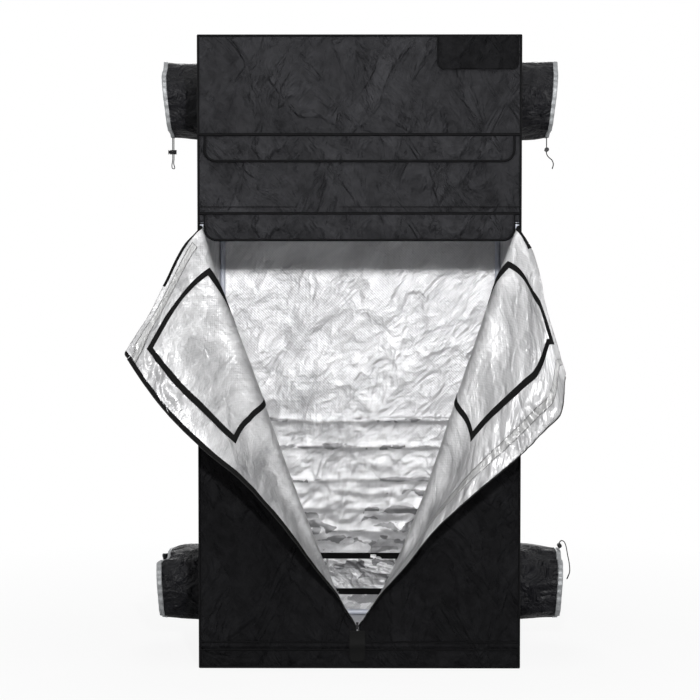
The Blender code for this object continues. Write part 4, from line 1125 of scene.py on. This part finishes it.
def edge_tape(name, side, x_span, z_span, lift, thickness, finish, slot, step=0.006):
    """A tape along an edge of a leaf, its ends given as flat places."""
    leaf = leaves[side]
    corners = corners_of((min(x_span), min(z_span)), (max(x_span), max(z_span)))
    wide, tall = cloth_size(corners)["flat"]
    shape = fold_sheet(leaf, corners, step)
    write_uv(shape, "Tape", lambda _, at: (at.z, (at.x - min(x_span)) / wide) if tall > wide
             else (at.x, (at.z - min(z_span)) / tall))
    edgings[side].append(hang(name, leaf, shape, lift, thickness, [finish], slot))


BINDING = 0.012
edgings = {-1: [], 1: []}
left_free, right_free, foot = leaves[-1].foot.x, leaves[1].foot.x, SILL + GAP
bound = (-0.0008, CLOTH + 0.0016, webbing, "black_canvas")
hemmed = (CLOTH + 0.0001, 0.0005, silver_tape, "silver_film")
for name, side, x_span, z_span, how in (
        ("zip_tape_left", -1, (left_free - BINDING, left_free + 0.001), (foot, LEAF_TOP + 0.001), bound),
        ("binding_top_left", -1, (-HALF + 0.002, -HALF + 0.30), (LEAF_TOP - 0.006, LEAF_TOP + 0.001), bound),
        ("hem_left", -1, (-HALF + 0.09, left_free - BINDING), (LEAF_TOP - 0.046, LEAF_TOP - 0.014), hemmed),
        ("binding_top_right", 1, (HALF - 0.13, HALF - 0.002), (LEAF_TOP - 0.012, LEAF_TOP + 0.001), bound),
        ("hem_right", 1, (right_free + 0.042, right_free + 0.072), (foot, LEAF_TOP - 0.002), hemmed)):
    edge_tape(name, side, x_span, z_span, *how)
for side, edge in ((-1, left_free + 0.001), (1, right_free - 0.001)):
    edge_tape(f"zip_coil_{SIDES[side]}", side, (edge, edge - side * 0.0032), (foot, LEAF_TOP - 0.004), -0.0012, 0.0030,
              zip_coil.made, "black_plastic", 0.004)
for side, (cloth, size) in leaf_cloths.items():
    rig.sheet(cloth, held="hung", with_pieces=edgings[side], **size)
print("edges bound")

# %% [markdown]
# A flap over a zip, the pull tab and the front patch are all cloth plates whose lower corners
# are rounded. They start as a grid too. The columns near each end are set by their angle on the
# corner's arc and not by even steps, so that the arc stays smooth.

# %% Cloth plates with rounded lower corners
ARC_STEPS, EDGE_STEPS, PIPING_STEP = 10, 60, 0.006


def rounded_plate(left, right, top, drop, corner, cell):
    """Flat cloth in x and y, its lower corners round, and its edge from top left to top right."""
    spare = corner * (math.pi / 2 - 1)
    shape = flat_cloth((left - spare, -drop), (right + spare, 0), cell)
    for point in shape.verts:
        near = min(point.co.x - left, right - point.co.x) + spare
        toward = 1 if point.co.x - left < right - point.co.x else -1
        turn = min(near / corner, math.pi / 2)
        inset = corner * (1 - math.cos(turn)) + near - corner * turn
        point.co.x = (left if toward > 0 else right) + toward * inset
        point.co.y = top + point.co.y * (1 - corner * (1 - math.sin(turn)) / drop)
    keep_measure(shape)
    arc = [math.pi / 2 * step / ARC_STEPS for step in range(ARC_STEPS + 1)]
    near_end = [(corner * (1 - math.cos(turn)), top - drop + corner * (1 - math.sin(turn))) for turn in arc]
    edge = [(left, top)] + [(left + x, y) for x, y in near_end]
    edge += [(left + (right - left) * step / EDGE_STEPS, top - drop) for step in range(5, EDGE_STEPS - 4)]
    return shape, edge + [(right - x, y) for x, y in reversed(near_end)] + [(right, top)]


def cloth_plate(name, plate, face, body, finish, stands_for=(), thickness=CLOTH, piping=0.0050):
    """Stand a plate up in front of the tent. face gives how far it stands forward at (x, z)."""
    shape, edge = plate
    for point in shape.verts:
        x, z = point.co.x, point.co.y
        point.co = (x, -face(x, z), z)
    xs, zs = [x for x, _ in edge], [z for _, z in edge]
    made = add_piece(name, shape, [finish, finish], body, stands_for, "black_canvas", 60)
    thicken(made, thickness, 1, 1)
    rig.sheet(made, flat=(max(xs) - min(xs), max(zs) - min(zs)), held="hung")
    line = smooth_route([(x, -face(x, z) - thickness / 2, z) for x, z in edge], PIPING_STEP)
    tube(f"{name}_piping", [line], piping, piping_cloth, body, slot="black_canvas")


def level_seam(name, height, forward, radius):
    """A straight seam across the front."""
    line = [(HALF * (step / 40 * 2 - 1), FRONT - forward, height) for step in range(41)]
    tube(name, [line], radius, piping_cloth, slot="black_canvas")


FLAP_SIDE, FLAP_DROP, FLAP_CORNER = 0.025, 0.10, 0.042
DOOR_SEAM = DOOR_ZIP + 0.037


def over_zip(seam, bow, seed):
    """How a flap stands forward: sewn at its seam, bowed over the zip, a little crumpled."""
    def face(x, z):
        share = (seam - z) / FLAP_DROP
        loose = 0.0035 * ease(share / 0.5) * (1 + crumple(x, z, seed))
        return -FRONT + GAP + bow * math.sin(math.pi * max(share, 0) ** 0.8) + loose
    return face


for body, node, seam, bow, seed in (("extension_flap", "extension_zip_flap", EXTENSION_SEAM, 0.002, 21),
                                    ("door_flap", "door_zip_flap", DOOR_SEAM, 0.014, 22)):
    plate = rounded_plate(-HALF + FLAP_SIDE, HALF - FLAP_SIDE, seam, FLAP_DROP, FLAP_CORNER, 0.0075)
    cloth_plate(f"cloth_{node}", plate, over_zip(seam, bow, seed), body, front_canvas, [node])
cloth_plate("front_patch", rounded_plate(0.295, 0.600, TOP - 0.002, 0.128, 0.03, 0.007),
            lambda x, z: -FRONT + 0.0018 + 0.009 * max(crumple(x, z, 6), 0) * ease((TOP - z) / 0.07)
            * ease((HALF - x) / 0.07), "tent", shaded_canvas, thickness=0.0010, piping=0.0030)
for index, (seam, radius) in enumerate(((EXTENSION_SEAM, 0.0060), (DOOR_SEAM, 0.0060), (DOOR_ZIP + 0.062, 0.0016))):
    level_seam(f"seam_{index}", seam, 0.0015, radius)
print("flaps hung")

# %% [markdown]
# The sill is a band across the foot of the door, with a tab sewn over the foot of the zip. The
# cross zip's coil runs along the lower edge of the panel above the door.

# %% Sill tab and cross zip
cloth_plate("sill_pull_tab", rounded_plate(V_CENTRE - 0.03, V_CENTRE + 0.03, V_BOTTOM - 0.02, 0.12, 0.018, 0.004),
            lambda x, z: -FRONT + 0.0022 + 0.004 * math.exp(-((z - 0.088) / 0.02) ** 2), "tent", webbing,
            thickness=0.0018, piping=0.0014)
COIL_HALF = 0.0030
cross = flat_cloth((-HALF, DOOR_ZIP - COIL_HALF), (HALF, DOOR_ZIP + COIL_HALF), 0.004)
write_uv(cross, "Tape", lambda _, at: (at.x, (at.y - DOOR_ZIP) / (2 * COIL_HALF) + 0.5))
move(cross, facing((0, -1, 0), (1, 0, 0), -FRONT - CLOTH))
thicken(add_piece("zip_coil_cross", cross, [zip_coil.made], slot="black_plastic"), 0.0026, 1)
for index, level in enumerate((0.101, 0.071)):
    level_seam(f"sill_seam_{index}", level, 0.0010, 0.0036)
print("sill and cross zip done")

# %% [markdown]
# The duct sleeves are thin, shiny nylon, gathered at the mouth in a silver cuff. A sleeve starts
# as a flat sheet, is wrapped round its port, and its two ends are merged. Its radius shrinks a
# little outwards, with soft ripples where the cuff draws the cloth in.

# %% Duct sleeves and their cuffs
SLEEVE_CLOTH, RING_INNER, RING_WIDTH = 0.0012, PORT_RADIUS + 0.002, 0.014


def sleeve_point(side, height, length, droop, dent, turn, share, seed):
    """A point of a sleeve. turn is 0 underneath, share runs out to the mouth, dent pushes the top in.

    Underneath, where the cord lock can be pushed up against it, the mouth is drawn in a little."""
    beside = ease((abs(math.remainder(turn, 2 * math.pi)) - 0.25) / 0.5)
    ripple = 0.005 * (1 - math.cos(7 * turn)) * share ** 1.5 + (0.012 - 0.018 * beside) * share
    gather = (0.0014 + 0.001 * beside) * math.sin(31 * turn + 2 * math.sin(3 * turn)) * ease((share - 0.45) / 0.5)
    pleat = 0.0022 * math.sin(19 * turn + seed) * ease(1 - share / 0.4)
    middle = math.sin(math.pi * min(share, 1.0))
    loose = (0.009 + 0.006 * beside) * middle * crumple(math.sin(turn) * 0.5 + share * 0.2, math.cos(turn) * 0.5, seed)
    pressed = ease((0.95 - abs(math.remainder(turn - math.pi, 2 * math.pi))) / 0.35) * share ** 1.5
    radius = PORT_RADIUS - ripple + gather + pleat + loose - dent[0] * pressed
    drawn = 1 - droop * (1 + math.cos(turn)) / 2 - dent[1] * pressed
    return Vector((side * (HALF + GAP + length * share * drawn), radius * math.sin(turn),
                   height - radius * math.cos(turn)))


def wrapped_tube(name, side, height, length, droop, dent, shares, lift, thickness, finish, slot, seed, nodes=(),
                 rows=24):
    """Cloth wrapped round a port, from one share of the sleeve's length to another."""
    start, end = shares
    shape = grid(140, rows)
    for point in shape.verts:
        turn, share = (point.co.x + 0.5) * 2 * math.pi, start + (point.co.y + 0.5) * (end - start)
        spot = sleeve_point(side, height, length, droop, dent, turn, share, seed)
        point.co = spot + lift * Vector((0, math.sin(turn), -math.cos(turn)))
    bmesh.ops.remove_doubles(shape, verts=shape.verts, dist=0.0001)
    bmesh.ops.recalc_face_normals(shape, faces=shape.faces)
    made = add_piece(name, shape, [finish], stands_for=nodes, slot=slot, sharp=70)
    thicken(made, thickness, 1)
    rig.sheet(made, flat=(2 * math.pi * PORT_RADIUS, length * (end - start)), held="gathered")


for seed, (side, level, height, length, droop, dent) in enumerate((
        (-1, "upper", UPPER_PORT, 0.19, 0.18, (0.0, 0.05)), (1, "upper", UPPER_PORT, 0.19, 0.18, (0.0, 0.02)),
        (-1, "lower", LOWER_PORT, 0.215, 0.08, (0.030, 0.20)),
        (1, "lower", LOWER_PORT, 0.215, 0.08, (0.024, 0.03))), 31):
    which = f"{level}_{SIDES[side]}"
    around = (side, height, length, droop, dent)
    wrapped_tube(f"sleeve_{which}", *around, (0, 0.985), 0.0, SLEEVE_CLOTH, black_nylon, "black_nylon", seed,
                 [f"duct_sleeve_{which}"])
    wrapped_tube(f"cuff_{which}", *around, (0.90, 1.0), SLEEVE_CLOTH + 0.0003, 0.0018, cuff_film, "silver_film", seed,
                 rows=4)
    ring = bmesh.new()
    bmesh.ops.create_circle(ring, segments=96, radius=RING_INNER + RING_WIDTH)
    move(ring, facing((side, 0, 0), (0, side, 0), HALF + 0.0002) @ Matrix.Translation((0, height, 0)))
    rim = bmesh.ops.extrude_edge_only(ring, edges=ring.edges)
    inner = [item for item in rim["geom"] if isinstance(item, bmesh.types.BMVert)]
    for point in inner:
        away = Vector((0, point.co.y, point.co.z - height))
        point.co = Vector((point.co.x, 0, height)) + away.normalized() * RING_INNER

    def round_ring(face, at, height=height):
        middle = face.calc_center_median()
        first = math.atan2(middle.z - height, middle.y)
        away = Vector((at.y, at.z - height))
        bend = math.remainder(math.atan2(away.y, away.x) - first, 2 * math.pi)
        return (first + bend) * PORT_RADIUS, (away.length - RING_INNER) / RING_WIDTH

    write_uv(ring, "Tape", round_ring)
    bmesh.ops.recalc_face_normals(ring, faces=ring.faces)
    if sum(face.normal.x * side for face in ring.faces) < 0:
        bmesh.ops.reverse_faces(ring, faces=ring.faces)
    thicken(add_piece(f"port_ring_{which}", ring, [webbing], slot="black_canvas"), 0.0022, 1)
print("sleeves sewn on")

# %% [markdown]
# The rear vent is a fine net in the back wall. A cover hangs inside over it, silver on the room's
# side and black towards the net, edged with black tape. Outside, tape holds the net's edge.

# %% Rear vent
net = grid(96, 31, 2 * VENT_HALF - 2 * GAP, VENT_TOP - VENT_FOOT - 2 * GAP)
move(net, facing((0, 1, 0), (-1, 0, 0), BACK - CLOTH / 2) @ Matrix.Translation((0, (VENT_FOOT + VENT_TOP) / 2, 0)))
bmesh.ops.wireframe(net, faces=net.faces, thickness=0.0008, use_replace=True, use_boundary=True,
                    use_even_offset=True)
add_piece("vent_net", net, [moulded], stands_for=["rear_vent_net"], slot="black_nylon", sharp=180)

vent_low, vent_high = (-VENT_HALF - VENT_BAND, VENT_FOOT - VENT_BAND), (VENT_HALF + VENT_BAND, VENT_TOP + VENT_BAND)
inward, outward = facing((0, -1, 0), (1, 0, 0), -(BACK - CLOTH - GAP)), facing((0, 1, 0), (-1, 0, 0), BACK + 0.0002)
for name, stand, body, proud in (("vent_tape_inside", inward, "vent_cover", 0.0016),
                                 ("vent_tape_outside", outward, "tent", 0.0)):
    shape = tape_frame(flat_cloth(vent_low, vent_high, 0.009), corners_of(vent_low, vent_high), VENT_BAND, 1)
    move(shape, stand @ Matrix.Translation((0, 0, proud)))
    thicken(add_piece(name, shape, [webbing], body, slot="black_canvas"), 0.0012, 1)
cover = flat_cloth(vent_low, vent_high, 0.010)
for point in cover.verts:
    point.co.z = 0.0008 + 0.0016 * crumple(point.co.x * 3, point.co.y * 5, 41)
move(cover, inward)
made = add_piece("vent_cover_cloth", cover, [vent_lining, black_canvas], "vent_cover", ["rear_vent_cover"],
                 "silver_film")
thicken(made, 0.0010, 1, 1)
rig.sheet(made, flat=(vent_high[0] - vent_low[0], vent_high[1] - vent_low[1]), held="hung")
print("vent closed")

# %% [markdown]
# Black piping covers the seams along the twelve edges of the box.

# %% Piping on the seams
PIPING = 0.0045


def level_edges(height):
    """The four edges round the box at one height."""
    return ([((-HALF, y, height), (HALF, y, height)) for y in (FRONT, BACK)]
            + [((x, FRONT, height), (x, BACK, height)) for x in (-HALF, HALF)])


uprights = [((x, y, 0), (x, y, TOP)) for y in (FRONT, BACK) for x in (-HALF, HALF)]
for index, (start, end) in enumerate(level_edges(TOP) + uprights + level_edges(0)):
    start, end = Vector(start), Vector(end)
    line = [start.lerp(end, step / 60) for step in range(61)]
    for spot in line:
        spot.z = min(max(spot.z, PIPING), TOP - PIPING * 0.5)
    tube(f"piping_{index}", [line], PIPING, piping_cloth, slot="black_canvas")
print("seams piped")

# %% [markdown]
# The studio is plain: a white floor, a small bright lamp in front, a little above the door, and
# soft light from all round. The small lamp gives the crisp edge of the shadow under the door flap.
# The world is white to the camera and in reflections, and gives only a faint light beside that.

# %% Floor, lamps and background
shape = bmesh.new()
bmesh.ops.create_circle(shape, cap_ends=True, segments=64, radius=14)
bmesh.ops.translate(shape, vec=(0, 0, -0.002), verts=shape.verts)
backdrop = Finish("studio_floor", Roughness=0.9, Specular_IOR_Level=0.1)
backdrop.feed(Base_Color=grey(0.85))
seen = backdrop.node("ShaderNodeLightPath", {}, {}, "Is Camera Ray")
far = backdrop.node("ShaderNodeVectorMath", {"operation": "LENGTH"}, {0: backdrop.place()}, 1)
fade = ((far - 1.2) * 0.5).clamp()
white = backdrop.node("ShaderNodeEmission", {}, {"Color": grey(1.0), "Strength": 1.0})
out = backdrop.tree.nodes["Material Output"]
blend = backdrop.node("ShaderNodeMixShader", {}, {0: seen * (fade * 0.1 + 0.9),
                                                  1: Wire(backdrop, backdrop.shader.outputs[0]), 2: white})
backdrop.tree.links.new(blend.socket, out.inputs["Surface"])
floor = add_piece("studio_floor", shape, [backdrop.made], None)
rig.stage(floor)


def lamp(name, place, target, size, watts):
    made = bpy.data.objects.new(name, bpy.data.lights.new(name, "AREA"))
    made.data.shape, made.data.size, made.data.energy = "DISK", size, watts
    made.location = place
    made.rotation_euler = (Vector(target) - Vector(place)).to_track_quat("-Z", "Y").to_euler()
    bpy.context.scene.collection.objects.link(made)


lamp("key_lamp", (0.25, -5.4, 2.15), (0, 0, 1.2), 0.16, 185)
lamp("left_box", (-3.2, -5.2, 2.4), (0, -0.4, 1.3), 1.8, 10)
lamp("right_box", (3.2, -5.2, 2.4), (0, -0.4, 1.3), 1.8, 10)
lamp("top_box", (0, -2.4, 4.4), (0, -0.5, 1.9), 1.4, 35)
for side, which in SIDES.items():
    lamp(f"wall_box_{which}", (side * 4.8, 0.9, 2.7), (side * HALF, 0, 1.3), 1.2, 32)
lamp("back_box", (0, 4.6, 3.4), (0, 0, 1.3), 2.4, 130)

world = bpy.data.worlds.new("studio")
bpy.context.scene.world = world
world.use_nodes = True
nodes, links = world.node_tree.nodes, world.node_tree.links
ambient, plain_white = nodes["Background"], nodes.new("ShaderNodeBackground")
mixed, rays = nodes.new("ShaderNodeMixShader"), nodes.new("ShaderNodeLightPath")
most, either = nodes.new("ShaderNodeMath"), nodes.new("ShaderNodeMath")
ambient.inputs["Color"].default_value, ambient.inputs["Strength"].default_value = grey(1.0, 1.01), 0.05
plain_white.inputs["Color"].default_value = grey(1.0)
most.operation = either.operation = "MAXIMUM"
for giver, output, taker, socket in (
        (rays, "Is Camera Ray", most, 0), (rays, "Is Glossy Ray", most, 1), (most, 0, either, 0),
        (rays, "Is Transmission Ray", either, 1), (either, 0, mixed, 0), (ambient, 0, mixed, 1),
        (plain_white, 0, mixed, 2), (mixed, 0, nodes["World Output"], "Surface")):
    links.new(giver.outputs[output], taker.inputs[socket])
bpy.context.scene.view_settings.view_transform = "Standard"
print("studio lit")

# %% [markdown]
# The boxes of the measured tent and of the dressed one are both written down.

# %% Finish
full_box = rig.bounds()
with open("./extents.json", "w") as file:
    json.dump({"cad": [list(corner) for corner in cad_box], "visual": [list(corner) for corner in full_box]}, file)
print("dressed box", [round(value, 3) for corner in full_box for value in corner])
